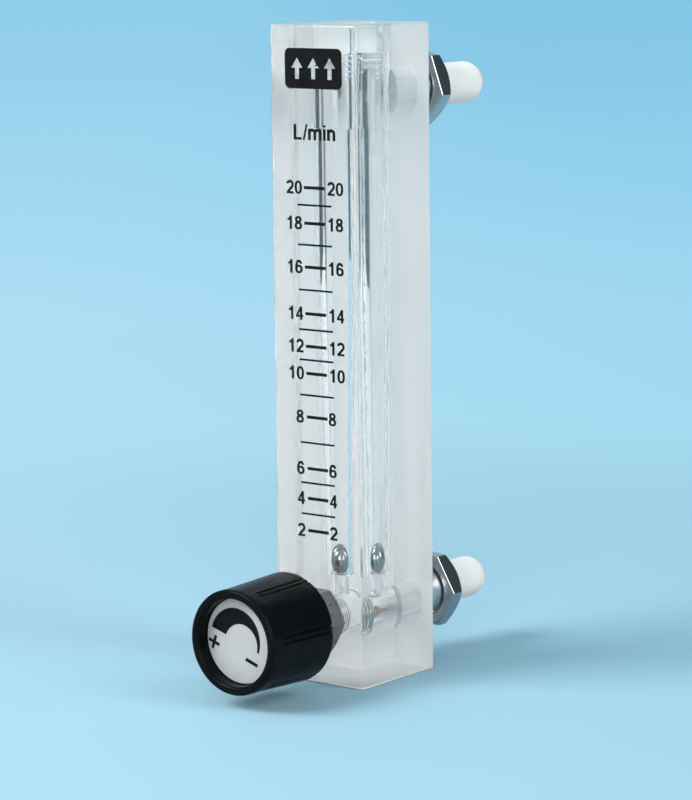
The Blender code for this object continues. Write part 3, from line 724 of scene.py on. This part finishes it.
def float_bore():
    """Cutter for the plug hole, the ledge, the tapered bore and the seat."""
    high = TOP + OVERRUN
    mouth = PLUG_HOLE_RADIUS + MOUTH_CHAMFER
    thread = thread_rows(PLUG_HOLE_RADIUS, PLUG_THREAD_HIGH, PLUG_THREAD_LOW, PLUG_HOLE_THREAD_DEPTH)
    taper = []
    for index in range(TAPER_ROWS + 1):
        share = 1 - index / TAPER_ROWS
        radius = BORE_BASE_RADIUS + (BORE_TOP_RADIUS - BORE_BASE_RADIUS) * share ** TAPER_CURVE
        taper.append((radius, SEAT_HEIGHT + (TAPER_TOP - SEAT_HEIGHT) * share))
    points = [(0, high), (mouth, high), (mouth, TOP), (PLUG_HOLE_RADIUS, TOP - MOUTH_CHAMFER), *thread,
              (PLUG_HOLE_RADIUS, LEDGE_HEIGHT), (BORE_TOP_RADIUS, LEDGE_HEIGHT), *taper,
              (SEAT_RADIUS, SEAT_HEIGHT), (SEAT_RADIUS, VALVE_HEIGHT), (0, VALVE_HEIGHT)]
    return lathe(points, BORE_SEGMENTS, wave=thread_wave(THREAD_PITCH, PLUG_HOLE_CREST, 0))


def valve_channel():
    """Cutter for the threaded valve chamber, the orifice and the inlet port."""
    web_end = BLOCK_DEPTH - PORT_DEPTH
    behind = BLOCK_DEPTH + OVERRUN
    thread = thread_rows(PORT_RADIUS, -MOUTH_CHAMFER, -CHAMBER_THREAD_DEPTH, THREAD_DEPTH)
    points = [(0, OVERRUN), (PORT_RADIUS, OVERRUN), *thread, (PORT_RADIUS, -CHAMBER_DEPTH),
              (ORIFICE_RADIUS, -CHAMBER_DEPTH), (ORIFICE_RADIUS, -web_end), (PORT_RADIUS, -web_end),
              (PORT_RADIUS, -behind), (0, -behind)]
    return lathe(points, BORE_SEGMENTS, wave=thread_wave())


def outlet_port():
    """Cutter for the outlet port and its passage to the bore."""
    end = -BLOCK_DEPTH / 2
    points = [(0, OVERRUN), (PORT_RADIUS, OVERRUN), (PORT_RADIUS, -PORT_DEPTH),
              (PASSAGE_RADIUS, -PORT_DEPTH), (PASSAGE_RADIUS, end), (0, end)]
    return lathe(points, BORE_SEGMENTS)


def is_flat(face):
    """Whether a face lies square to an axis."""
    return max(abs(value) for value in face.normal) > FLAT_NORMAL


def inner_finish(face):
    """Finish of a face in one of the block's bores."""
    is_near_axis = Vector(face.center[:2]).length < PLUG_HOLE_RADIUS + SOFT_EDGE
    if is_near_axis and face.center.z > SEAT_HEIGHT - SOFT_EDGE:
        return CEMENTED if face.center.z > PLUG_THREAD_HIGH else BORED
    in_chamber = FRONT + CHAMBER_CLEAR_FROM < face.center.y < FRONT + CHAMBER_DEPTH
    return CHAMBER if in_chamber and face.center.z < SEAT_HEIGHT else DRILLED


def block_finish(face):
    """Finish of a face of the block, by its place and the way it looks."""
    reach = [abs(value) for value in face.center - BLOCK_CENTRE]
    half = BLOCK_SIZE / 2
    is_deep = all(value < limit - SOFT_EDGE / 2 for value, limit in zip(reach, half))
    is_clear_of_edges = all(value / limit <= EDGE_SHARE for value, limit in zip(reach, half))
    if is_deep and (is_flat(face) or is_clear_of_edges):
        return inner_finish(face)
    if face.normal.y > BACK_NORMAL or face.normal.z < UNDER_NORMAL and not is_flat(face):
        return MILLED
    # The flat underside gets the sawn finish with its painted shade
    if face.normal.z < UNDER_NORMAL:
        return SAWN_PAINTED_SHADE
    return SIDE if face.normal.x < SIDE_NORMAL else POLISHED


def finish_block(mesh):
    """Give each face of the block its finish, and keep flat faces flat."""
    flat = {}
    for face in mesh.polygons:
        face.material_index = BLOCK_FINISHES.index(block_finish(face))
        for key in face.edge_keys:
            flat.setdefault(key, []).append(is_flat(face))
    shade(mesh)
    sharp = mesh.attributes.get("sharp_edge") or mesh.attributes.new("sharp_edge", "BOOLEAN", "EDGE")
    for edge in mesh.edges:
        kinds = flat.get(edge.key, [])
        if any(kinds) and not all(kinds):
            sharp.data[edge.index].value = True


def make_block():
    """Acrylic block with its bores."""
    bm = start_box(BLOCK_CENTRE, BLOCK_SIZE)
    bmesh.ops.bevel(bm, geom=bm.edges[:], offset=BLOCK_EDGE, segments=BLOCK_EDGE_SEGMENTS,
                    profile=ROUND_PROFILE, affect="EDGES")
    mesh = finished_mesh(bm)
    cutters = ((BLOCK_AXIS, float_bore()), (VALVE_AXIS, valve_channel()), (OUTLET_AXIS, outlet_port()))
    for axis, cutter in cutters:
        cutter.transform(axis)
        mesh = combine(mesh, cutter)
    finish_block(mesh)
    place_piece("acrylic_block", mesh, BLOCK_AXIS, "housing", "clear_acrylic", "block", *BLOCK_FINISHES)


def make_plug():
    """Threaded plug with a slot, its seal, and the float's stop pin."""
    thread_low = PLUG_SEAL_HEIGHT + GROOVE_HALF + SOFT_EDGE
    thread = thread_rows(PLUG_RADIUS, PLUG_TOP - MOUTH_CHAMFER, thread_low, PLUG_THREAD_DEPTH)
    points = [(0, PLUG_TOP), (PLUG_RADIUS - MOUTH_CHAMFER, PLUG_TOP), *thread,
              *groove_points(PLUG_RADIUS, PLUG_SEAL_HEIGHT, PLUG_GROOVE_FLOOR), (PLUG_RADIUS, PLUG_BOTTOM),
              (PIN_SOCKET_RADIUS, PLUG_BOTTOM), (PIN_SOCKET_RADIUS, PIN_SOCKET_TOP), (0, PIN_SOCKET_TOP)]
    plug = lathe(points, THREAD_SEGMENTS, wave=thread_wave())
    slot = finished_mesh(start_box((0, 0, PLUG_TOP), PLUG_SLOT))
    add_piece("threaded_plug", combine(plug, slot), BLOCK_AXIS, "housing", "clear_plug", "top_plug",
              TURNED_ACRYLIC)
    make_seal("plug_seal", "plug_oring", PLUG_SEAL_RADIUS, PLUG_SEAL_HEIGHT, BLOCK_AXIS, "housing")
    pin = soften([(0, PIN_TOP), (PIN_RADIUS, PIN_TOP), (PIN_RADIUS, PIN_BOTTOM), (0, PIN_BOTTOM)], PIN_EDGE)
    add_piece("float_stop_pin", lathe(pin, THREAD_SEGMENTS), BLOCK_AXIS, "housing", "clear_pin",
              "float_stop", TURNED_ACRYLIC)


def make_ball():
    """Polished ball on its seat."""
    low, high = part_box("float_ball")
    bm = bmesh.new()
    bmesh.ops.create_icosphere(bm, subdivisions=BALL_SUBDIVISIONS, radius=(high.z - low.z) / 2,
                               matrix=Matrix.Translation((low + high) / 2))
    mesh = finished_mesh(bm)
    mesh.shade_smooth()
    place_piece("steel_ball", mesh, BLOCK_AXIS, "float", "steel_ball", "float_ball", STEEL)


def make_bushing():
    """Bushing with a threaded shank in the block, a hexagon and a round neck."""
    middle = (HEX_LOW + HEX_HIGH) / 2
    thread = thread_rows(BUSHING_RADIUS, -MOUTH_CHAMFER, MOUTH_CHAMFER - BUSHING_REACH, THREAD_DEPTH)
    points = [*soften([(STEM_BORE, NECK_END), (NECK_RADIUS, NECK_END), (NECK_RADIUS, middle)])[1:],
              (BUSHING_RADIUS, middle), *thread, (BUSHING_RADIUS - MOUTH_CHAMFER, -BUSHING_REACH),
              (SHANK_BORE, -BUSHING_REACH), (SHANK_BORE, -STEM_STEP), (STEM_BORE, -STEM_STEP),
              (STEM_BORE, NECK_END)]
    bushing = lathe(points, closed=True, wave=thread_wave())
    bushing = combine(bushing, hexagon(HEX_FLATS, HEX_LOW, HEX_HIGH), "UNION")
    bore = [(0, HEX_HIGH + OVERRUN), (STEM_BORE, HEX_HIGH + OVERRUN), (STEM_BORE, -STEM_STEP / 2),
            (0, -STEM_STEP / 2)]
    recess = [(BUSHING_SEAL_OUTER, BUSHING_SEAL_FLOOR), (BUSHING_SEAL_OUTER, -OVERRUN / 4),
              (BUSHING_SEAL_INNER, -OVERRUN / 4), (BUSHING_SEAL_INNER, BUSHING_SEAL_FLOOR)]
    bushing = combine(combine(bushing, lathe(bore)), lathe(recess, closed=True))
    add_piece("hexagon_bushing", bushing, VALVE_AXIS, "housing", "nickel_bushing", "valve_bushing", NICKEL)
    make_seal("bushing_seal", "bushing_oring", BUSHING_SEAL_RADIUS, BUSHING_SEAL_HEIGHT, VALVE_AXIS,
              "housing")


def make_stem():
    """Stem with its needle, seal groove, thread and flatted end, and its seal."""
    pitch = STEM_THREAD_PITCH
    thread = thread_rows(STEM_THREAD_RADIUS, STEM_THREAD_HIGH, STEM_THREAD_LOW, THREAD_DEPTH, pitch)
    tail = soften([(STEM_THREAD_RADIUS, STEM_THREAD_LOW), (SHANK_RADIUS, STEM_THREAD_LOW),
                   *groove_points(SHANK_RADIUS, STEM_SEAL_HEIGHT, STEM_GROOVE_FLOOR), *NEEDLE], STEM_EDGE)
    points = [(0, STEM_HOLE_FLOOR), (STEM_HOLE_RADIUS, STEM_HOLE_FLOOR), (STEM_HOLE_RADIUS, STEM_TOP),
              (STEM_END_RADIUS, STEM_TOP), (STEM_END_RADIUS, STEM_THREAD_HIGH), *thread, *tail[1:]]
    stem = lathe(points, THREAD_SEGMENTS, wave=thread_wave(pitch))
    low = Vector((-STEM_THREAD_RADIUS, STEM_FLAT, STEM_FLAT_LOW))
    high = Vector((STEM_THREAD_RADIUS, STEM_THREAD_RADIUS, STEM_TOP + OVERRUN))
    stem = combine(stem, finished_mesh(start_box((low + high) / 2, high - low)))
    add_piece("needle_stem", stem, VALVE_AXIS, "valve_knob", "brass_stem", "valve_stem", BRASS)
    make_seal("stem_seal_ring", "stem_oring", STEM_SEAL_RADIUS, STEM_SEAL_HEIGHT, VALVE_AXIS, "stem_seal")


def rib_wave(angle, height):
    """Depth of the knob's fine ribs at an angle, with a pair of deeper grooves in each group."""
    depth = (0.5 - 0.5 * cos(angle * RIB_COUNT)) * RIB_DEPTH
    group = 2 * pi / GROOVE_GROUPS
    for groove in GROOVE_ANGLES:
        distance = abs((angle - groove + group / 2) % group - group / 2)
        if distance < GROOVE_HALF_ANGLE:
            share = 0.5 + 0.5 * cos(pi * distance / GROOVE_HALF_ANGLE)
            depth = max(depth, share * GROOVE_DEPTH)
    return depth


def make_knob():
    """Ribbed knob with a smooth front collar, a recess for the disc, and a hub on the stem."""
    collar_low = KNOB_FRONT - KNOB_COLLAR
    collar = soften([(RECESS_RADIUS, RECESS_FLOOR), (RECESS_RADIUS, KNOB_FRONT),
                     (KNOB_FRONT_RADIUS, KNOB_FRONT), (KNOB_FRONT_RADIUS, collar_low)],
                    COLLAR_EDGE, COLLAR_STEPS)[1:-1]
    grip_high = collar_low - RIB_RUNOUT
    grip_low = KNOB_REAR + KNOB_CHAMFER
    grip = []
    for index in range(RIB_ROWS + 1):
        share = index / RIB_ROWS
        radius = KNOB_FRONT_RADIUS + (KNOB_REAR_RADIUS - KNOB_FRONT_RADIUS) * share
        grip.append((radius, grip_high + (grip_low - grip_high) * share, 1))
    inner = soften([(CAVITY_RADIUS, KNOB_REAR), (CAVITY_RADIUS, CAVITY_TOP), (HUB_RADIUS, CAVITY_TOP),
                    (HUB_RADIUS, HUB_LOW), (HUB_BORE, HUB_LOW), (HUB_BORE, HUB_BORE_TOP),
                    (SCREW_HOLE, HUB_BORE_TOP), (SCREW_HOLE, HEAD_SEAT), (HEAD_HOLE, HEAD_SEAT),
                    (HEAD_HOLE, RECESS_FLOOR), (RECESS_RADIUS, RECESS_FLOOR)], KNOB_EDGE)
    points = [*collar, (KNOB_FRONT_RADIUS, collar_low, 0), *grip,
              (KNOB_REAR_RADIUS - KNOB_CHAMFER, KNOB_REAR, RIB_REAR_SHARE), *inner]
    add_piece("ribbed_knob", lathe(points, RIB_COUNT * RIB_SAMPLES, closed=True, wave=rib_wave),
              VALVE_AXIS, "valve_knob", "black_knob", "knob", KNOB_PLASTIC)


def make_disc():
    """Silver disc in the knob's recess."""
    rear = DISC_FACE - DISC_THICKNESS
    points = soften([(0, DISC_FACE), (DISC_RADIUS, DISC_FACE), (DISC_RADIUS, rear), (0, rear)], DISC_EDGE)
    add_piece("silver_disc", lathe(points), VALVE_AXIS, "valve_knob", "silver_disc", "knob_disc", DISC_FOIL)


def flat_mesh(outlines, thickness=INK_THICKNESS):
    """Flat sheet from closed outlines in the XY plane, with inner ones as holes."""
    curve = bpy.data.curves.new("outlines", "CURVE")
    curve.dimensions = "2D"
    curve.fill_mode = "BOTH"
    curve.extrude = thickness / 2
    for outline in outlines:
        spline = curve.splines.new("POLY")
        spline.points.add(len(outline) - 1)
        for point, place in zip(spline.points, outline):
            point.co = (*place, 0, 1)
        spline.use_cyclic_u = True
    bm = bmesh.new()
    bm.from_mesh(evaluated_mesh(add_object("outlines", curve)))
    bmesh.ops.remove_doubles(bm, verts=bm.verts[:], dist=WELD_DISTANCE)
    return finished_mesh(bm)


def stroke(width, *points):
    """Outline of an open line of an even width, with square ends."""
    path = [Vector(point) for point in points]
    left, right = [], []
    for index, here in enumerate(path):
        along_in = (here - path[max(index - 1, 0)]).normalized()
        along_out = (path[min(index + 1, len(path) - 1)] - here).normalized()
        along = (along_in + along_out).normalized()
        across = Vector((-along.y, along.x))
        normal = Vector((-along_in.y, along_in.x)) if along_in.length else across
        reach = width / 2 / max(across.dot(normal), MITRE_LIMIT)
        left.append(here + across * reach)
        right.append(here - across * reach)
    return [[tuple(point) for point in left + right[::-1]]]


def oval(centre, size, start=0, end=360):
    """Points of an oval or of an arc of one, between two angles in degrees."""
    points = []
    for step in range(GLYPH_STEPS + 1):
        angle = radians(start + (end - start) * step / GLYPH_STEPS)
        cosine, sine = cos(angle), sin(angle)
        points.append((centre[0] + size[0] * copysign(abs(cosine) ** GLYPH_SQUARENESS, cosine),
                       centre[1] + size[1] * copysign(abs(sine) ** GLYPH_SQUARENESS, sine)))
    return points


def ring(centre, size):
    """Outlines of an oval ring with an outer half size."""
    inner = (size[0] - STEM_WIDTH, size[1] - BAR_WIDTH)
    return [oval(centre, size)[:-1], oval(centre, inner)[:-1]]


def arch(left, right):
    """Outline of the arch and right stem of an m or an n."""
    half = (right - left) / 2
    curve = oval((left + half, X_HEIGHT - BAR_LOW - half), (half, half), ARCH_START, 0)
    return stroke(CURVE_WIDTH, *curve, (right, 0))


def upright(place=STEM_PLACE, high=1, low=0):
    """Outline of an upright."""
    return stroke(STEM_WIDTH, (place, low), (place, high))


def bar(right, height=BAR_LOW):
    """Outline of a level bar."""
    return stroke(BAR_WIDTH, (BAR_START, height), (right, height))


# Rings and strokes of each glyph
GLYPHS = {
    "0": [ring((0.35, 0.5), (0.35, 0.5))],
    "1": [upright(0.42), stroke(BAR_WIDTH, (0.12, 0.70), (0.28, 0.78), (0.42, 0.95))],
    "2": [stroke(CURVE_WIDTH, *oval((0.345, BAR_HIGH - 0.235), (0.25, 0.235), 170, -38),
                 (0.12, 0.6 * BAR_WIDTH)), bar(0.68)],
    "4": [upright(0.49), bar(0.69, 0.29), stroke(BAR_WIDTH, (0.07, 0.27), (0.47, 0.94))],
    "6": [ring((0.355, 0.32), (0.35, 0.32)),
          stroke(CURVE_WIDTH, *oval((0.355, 0.5), (0.35 - STEM_WIDTH / 2, 0.5 - BAR_LOW), 28, 190))],
    "8": [ring((0.35, 0.745), (0.31, 0.255)), ring((0.35, 0.29), (0.35, 0.29))],
    "L": [upright(), bar(0.64)],
    "/": [stroke(SLASH_WIDTH, (0.02, -0.02), (0.28, 1.02))],
    "i": [upright(high=X_HEIGHT), upright(low=0.86)],
    "n": [upright(high=X_HEIGHT), arch(STEM_PLACE, 0.54)],
    "m": [upright(high=X_HEIGHT), arch(STEM_PLACE, 0.54), arch(0.54, 0.98)],
}


def text_mesh(text):
    """Shapes of a text, one unit high and centred on the origin, with its width."""
    mesh = None
    start = 0
    for letter in text:
        for outlines in GLYPHS[letter]:
            part = flat_mesh([[(x + start, y) for x, y in outline] for outline in outlines], 1)
            mesh = part if mesh is None else combine(mesh, part, "UNION")
        start += ADVANCES.get(letter, DIGIT_ADVANCE)
    low = min(vertex.co.x for vertex in mesh.vertices)
    high = max(vertex.co.x for vertex in mesh.vertices)
    mesh.transform(Matrix.Diagonal((1, 1, INK_THICKNESS, 1)) @
                   Matrix.Translation((-(low + high) / 2, -0.5, 0)))
    return mesh, high - low


def add_print(name, parts, plane, body, slot):
    """Join flat shapes, each with its place in a plane, into one printed piece."""
    bm = bmesh.new()
    for mesh, place in parts:
        copy = mesh.copy()
        copy.transform(place)
        bm.from_mesh(copy)
        bpy.data.meshes.remove(copy)
    place_piece(name, finished_mesh(bm), plane, body, slot, None, INK)


def bar_outline(width, height):
    """Corners of a bar about the origin."""
    x, y = width / 2, height / 2
    return [(-x, -y), (x, -y), (x, y), (-x, y)]


def plus_outline(length, width):
    """Corners of a plus about the origin."""
    far, near = length / 2, width / 2
    corners = []
    for along, across in ((1, 0), (0, 1), (-1, 0), (0, -1)):
        start = (far * along + near * across, far * across - near * along)
        end = (far * along - near * across, far * across + near * along)
        inner = (near * (along - across), near * (along + across))
        corners += [start, end, inner]
    return corners


def rounded_outline(width, height, radius):
    """Outline of a rounded rectangle about the origin."""
    points = []
    for quarter, (side_x, side_y) in enumerate(((1, 1), (-1, 1), (-1, -1), (1, -1))):
        centre = (side_x * (width / 2 - radius), side_y * (height / 2 - radius))
        start = pi / 2 * quarter
        points += arc_points(centre, radius, start, start + pi / 2, EMBLEM_STEPS)
    return points


def arrow_outline(width, height, centre_x):
    """Outline of an upward arrow."""
    x, y = width / 2, height / 2
    stem = x * ARROW_STEM_SHARE
    neck = y * ARROW_NECK_SHARE
    corners = ((0, y), (-x, neck), (-stem, neck), (-stem, -y), (stem, -y), (stem, neck), (x, neck))
    return [(centre_x + across, up) for across, up in corners]


def make_scale():
    """Marks, numbers, unit and emblem on the front face."""
    plane = (Matrix.Translation((0, FRONT - INK_GAP - INK_THICKNESS / 2, 0)) @
             Matrix.Rotation(pi / 2, 4, "X"))
    _, pair_width = text_mesh("20")
    digit_size = Matrix.Diagonal((TWO_DIGITS_WIDTH / pair_width, DIGIT_HEIGHT, 1, 1))
    marks = []
    numbers = []
    for value, height in SCALE_HEIGHTS.items():
        size = ODD_MARK if value % 2 else EVEN_MARK
        marks.append((flat_mesh([bar_outline(*size)]), Matrix.Translation((0, height, 0))))
        if value % 2:
            continue
        glyphs, _ = text_mesh(str(value))
        for place in TWO_DIGITS_PLACES if value >= 10 else ONE_DIGIT_PLACES:
            numbers.append((glyphs, Matrix.Translation((place, height, 0)) @ digit_size))
    unit, unit_width = text_mesh("L/min")
    unit_matrix = (Matrix.Translation((*UNIT_PLACE, 0)) @
                   Matrix.Diagonal((UNIT_SIZE[0] / unit_width, UNIT_SIZE[1], 1, 1)))
    arrows = [arrow_outline(*ARROW_SIZE, (index - (ARROW_COUNT - 1) / 2) * ARROW_STEP)
              for index in range(ARROW_COUNT)]
    emblem = flat_mesh([rounded_outline(*EMBLEM_SIZE, EMBLEM_ROUND), *arrows])
    emblem_matrix = Matrix.Translation((*EMBLEM_PLACE, 0))
    for name, parts in (("scale_marks", marks), ("scale_numbers", numbers),
                        ("scale_unit", [(unit, unit_matrix)]), ("flow_emblem", [(emblem, emblem_matrix)])):
        add_print(name, parts, plane, "housing", "clear_acrylic")


def make_disc_print():
    """Crescent, plus and minus on the knob's disc."""
    plane = VALVE_AXIS @ Matrix.Translation((0, 0, DISC_FACE + INK_GAP + INK_THICKNESS / 2))
    crescent = arc_points(*CRESCENT_OUTER, CRESCENT_STEPS) + arc_points(*CRESCENT_INNER, CRESCENT_STEPS)
    turn = Matrix.Rotation(SIGN_TURN, 4, "Z")
    parts = [(flat_mesh([crescent]), Matrix.Identity(4))]
    for outline, place in ((plus_outline(*PLUS_ARM), PLUS_PLACE), (bar_outline(*MINUS_ARM), MINUS_PLACE)):
        parts.append((flat_mesh([outline]), Matrix.Translation((*place, 0)) @ turn))
    add_print("disc_print", parts, plane, "valve_knob", "silver_disc")


def barb_points():
    """Points down the hose barbs."""
    points = []
    for index in range(BARB_COUNT):
        tip = BARB_END - index * BARB_PITCH
        root = tip - BARB_PITCH
        points += [(BARB_ROOT, tip), (BARB_RADIUS, root + BARB_LAND), (BARB_RADIUS, root)]
    return points + [(BARB_ROOT, BARB_END - BARB_COUNT * BARB_PITCH)]


def make_fitting(side, axis):
    """Fitting with hose barbs, a threaded barrel and a spigot, and its seal."""
    thread_high = BARREL_END - BARREL_CHAMFER
    front = soften([(FITTING_BORE, BARB_END), *barb_points(), (BARB_ROOT, BARREL_END),
                    (BARREL_RADIUS - BARREL_CHAMFER, BARREL_END), (BARREL_RADIUS, thread_high)],
                   FITTING_EDGE)
    thread = thread_rows(BARREL_RADIUS, thread_high, BARREL_THREAD_LOW, BARREL_THREAD_DEPTH)
    groove = groove_points(SPIGOT_RADIUS, SPIGOT_SEAL_HEIGHT, SPIGOT_GROOVE_FLOOR)
    rear = soften([(BARREL_RADIUS, BARREL_THREAD_LOW), (BARREL_RADIUS, BARREL_LOW),
                   (SPIGOT_RADIUS, BARREL_LOW), *groove, (SPIGOT_RADIUS, -SPIGOT_REACH),
                   (FITTING_BORE, -SPIGOT_REACH)], FITTING_EDGE)
    fitting = lathe([*front[:-1], *thread, *rear[1:]], THREAD_SEGMENTS, closed=True, wave=thread_wave())
    add_piece(side + "_barb_fitting", fitting, axis, "housing", "chrome_fitting", side + "_fitting", CHROME)
    make_seal(side + "_seal", side + "_oring", SPIGOT_SEAL_RADIUS, SPIGOT_SEAL_HEIGHT, axis, "housing")


def make_nut(side, axis, low, turn):
    """Thin hexagon nut on a barrel."""
    high = low + NUT_THICKNESS
    mouth = NUT_BORE + MOUTH_CHAMFER + OVERRUN
    bore = [(0, high + OVERRUN), (mouth, high + OVERRUN), (NUT_BORE, high - MOUTH_CHAMFER),
            (NUT_BORE, low + MOUTH_CHAMFER), (mouth, low - OVERRUN), (0, low - OVERRUN)]
    blank = hexagon(NUT_FLATS, low, high, turn, NUT_CHAMFER_ANGLE, both_ends=False)
    add_piece(side + "_hexagon_nut", combine(blank, lathe(bore)), axis, side + "_nut", "chrome_nut",
              side + "_nut", CHROME_FLATS)


def make_cap(side, axis):
    """Soft cap with a domed end and a bead at its lip."""
    inner = CAP_RADIUS - CAP_WALL
    centre = Vector((0, CAP_DOME_CENTRE))
    bead = [(CAP_RADIUS, CAP_START + CAP_WALL_START), (CAP_RADIUS + CAP_BEAD, CAP_START + CAP_BEAD_END),
            (CAP_RADIUS + CAP_BEAD, CAP_START), (inner, CAP_START)]
    cap = [*arc_points(centre, CAP_RADIUS, pi / 2, 0, CAP_DOME_STEPS), *soften(bead, CAP_EDGE),
           *arc_points(centre, inner, 0, pi / 2, CAP_DOME_STEPS)]
    add_piece(side + "_rubber_cap", lathe(cap), axis, side + "_cap", "white_cap", side + "_cap", CAP_RUBBER)


def seen_directly(tree):
    """Give 1 where the camera sees a surface, also in metal or glass, and 0 for bounce light."""
    rays = tree.nodes.new("ShaderNodeLightPath")
    total = rays.outputs["Is Camera Ray"]
    for name in ("Is Glossy Ray", "Is Transmission Ray"):
        inputs = {0: total, 1: rays.outputs[name]}
        total = add_node(tree, "Math", inputs, operation="ADD", use_clamp=True).outputs["Value"]
    return total


def make_floor():
    """Pale floor that takes shadows near the object and glows further out, with painted falloff and painted
    side light in its colour.
    """
    bm = bmesh.new()
    bmesh.ops.create_circle(bm, cap_ends=True, segments=FINE_SEGMENTS, radius=FLOOR_RADIUS,
                            matrix=Matrix.Translation((0, 0, -FLOOR_GAP)))
    floor = add_object("floor", finished_mesh(bm))
    inputs = {"Specular IOR Level": FLOOR_SPECULAR}
    material, tree, shader = make_material("pale_floor", FLOOR_BOUNCE, FLOOR_ROUGHNESS, inputs)
    place = place_on(tree)
    distance = add_node(tree, "VectorMath", {0: place}, operation="LENGTH").outputs["Value"]
    # The ramp paints the falloff of lamp light away from the object, and the side mix paints side light from
    # left to right
    farthest = FLOOR_PAINTED_FALLOFF[-1][0]
    stops = [(reach / farthest, colour) for reach, colour in FLOOR_PAINTED_FALLOFF]
    rings = colour_ramp(tree, map_range(tree, distance, 0, farthest, interpolation="LINEAR"), stops)
    across = place_along(tree, place, (cos(CAMERA_YAW), sin(CAMERA_YAW), 0))
    side = map_range(tree, across, -FLOOR_PAINTED_SIDE_REACH, FLOOR_PAINTED_SIDE_REACH)
    painted_floor_colour = mix_colours(tree, 1, rings, mix_colours(tree, side, *FLOOR_PAINTED_SIDE_LIGHT), "MULTIPLY")
    lit = mix_colours(tree, 1, painted_floor_colour, FLOOR_LIT_SHARE, "MULTIPLY")
    direct = seen_directly(tree)
    set_inputs(tree, shader, {"Base Color": mix_colours(tree, direct, (*FLOOR_BOUNCE, 1), lit)})
    glow = add_node(tree, "Emission", {"Color": painted_floor_colour}).outputs["Emission"]
    fade = map_range(tree, distance, *FLOOR_FADE)
    share = add_node(tree, "Math", {0: fade, 1: direct}, operation="MULTIPLY").outputs["Value"]
    blend = add_node(tree, "MixShader", {"Fac": share, 1: shader.outputs["BSDF"], 2: glow})
    set_inputs(tree, tree.nodes["Material Output"], {"Surface": blend.outputs["Shader"]})
    floor.data.materials.append(material)


def make_world():
    """Plain world with one dark part, which the metal shows."""
    world = bpy.data.worlds.new("studio")
    world.use_nodes = True
    tree = world.node_tree
    dark = map_range(tree, place_along(tree, place_on(tree, "Generated"), DARK_DIRECTION), *DARK_EDGES)
    colour = mix_colours(tree, dark, WORLD_COLOUR, WORLD_DARK)
    set_inputs(tree, tree.nodes["Background"], {"Strength": WORLD_STRENGTH, "Color": colour})
    bpy.context.scene.world = world


def add_card(name, colour, mirrored, corners):
    """Put up a card that only light through acrylic meets, and mirrors if so wished."""
    bm = bmesh.new()
    bm.faces.new([bm.verts.new(corner) for corner in corners])
    card = add_object(name, finished_mesh(bm))
    material, _, _ = make_material(name, colour, 1, {"Specular IOR Level": 0})
    card.data.materials.append(material)
    card.visible_camera = card.visible_shadow = card.visible_diffuse = False
    card.visible_glossy = mirrored


def add_lamp(name, place, size, power):
    """Add a soft rectangular lamp aimed at the object."""
    lamp = bpy.data.lights.new(name, "AREA")
    lamp.shape = "RECTANGLE"
    lamp.size, lamp.size_y = size
    lamp.energy = power
    lamp.color = LAMP_COLOUR
    obj = add_object(name, lamp)
    obj.location = place
    obj.rotation_euler = (LAMP_AIM - Vector(place)).to_track_quat("-Z", "Y").to_euler()


def make_camera():
    """Camera at the photograph's viewing angle."""
    camera = bpy.data.cameras.new("camera")
    camera.sensor_width = CAMERA_SENSOR
    camera.lens = CAMERA_LENS
    obj = add_object("camera", camera)
    obj.matrix_world = (Matrix.Translation(CAMERA_PLACE) @ Matrix.Rotation(CAMERA_YAW, 4, "Z") @
                        Matrix.Rotation(pi / 2 - CAMERA_PITCH, 4, "X") @
                        Matrix.Rotation(CAMERA_ROLL, 4, "Z"))
    bpy.context.scene.camera = obj


make_camera()
make_floor()
make_world()
for card in CARDS:
    add_card(*card)
for lamp in LAMPS:
    add_lamp(*lamp)
make_block()
make_plug()
make_ball()
make_bushing()
make_stem()
make_knob()
make_disc()
make_scale()
make_disc_print()
for side, axis, nut_place, nut_turn in (("inlet", INLET_AXIS, INLET_NUT_PLACE, INLET_NUT_TURN),
                                        ("outlet", OUTLET_AXIS, OUTLET_NUT_PLACE, OUTLET_NUT_TURN)):
    make_fitting(side, axis)
    make_nut(side, axis, nut_place, nut_turn)
    make_cap(side, axis)
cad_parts["knob_screw"].data.materials.clear()
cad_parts["knob_screw"].data.materials.append(ZINC)

scene = bpy.context.scene
scene.view_settings.view_transform = "Standard"
for kind, count in LIGHT_BOUNCES.items():
    setattr(scene.cycles, kind + "_bounces", count)
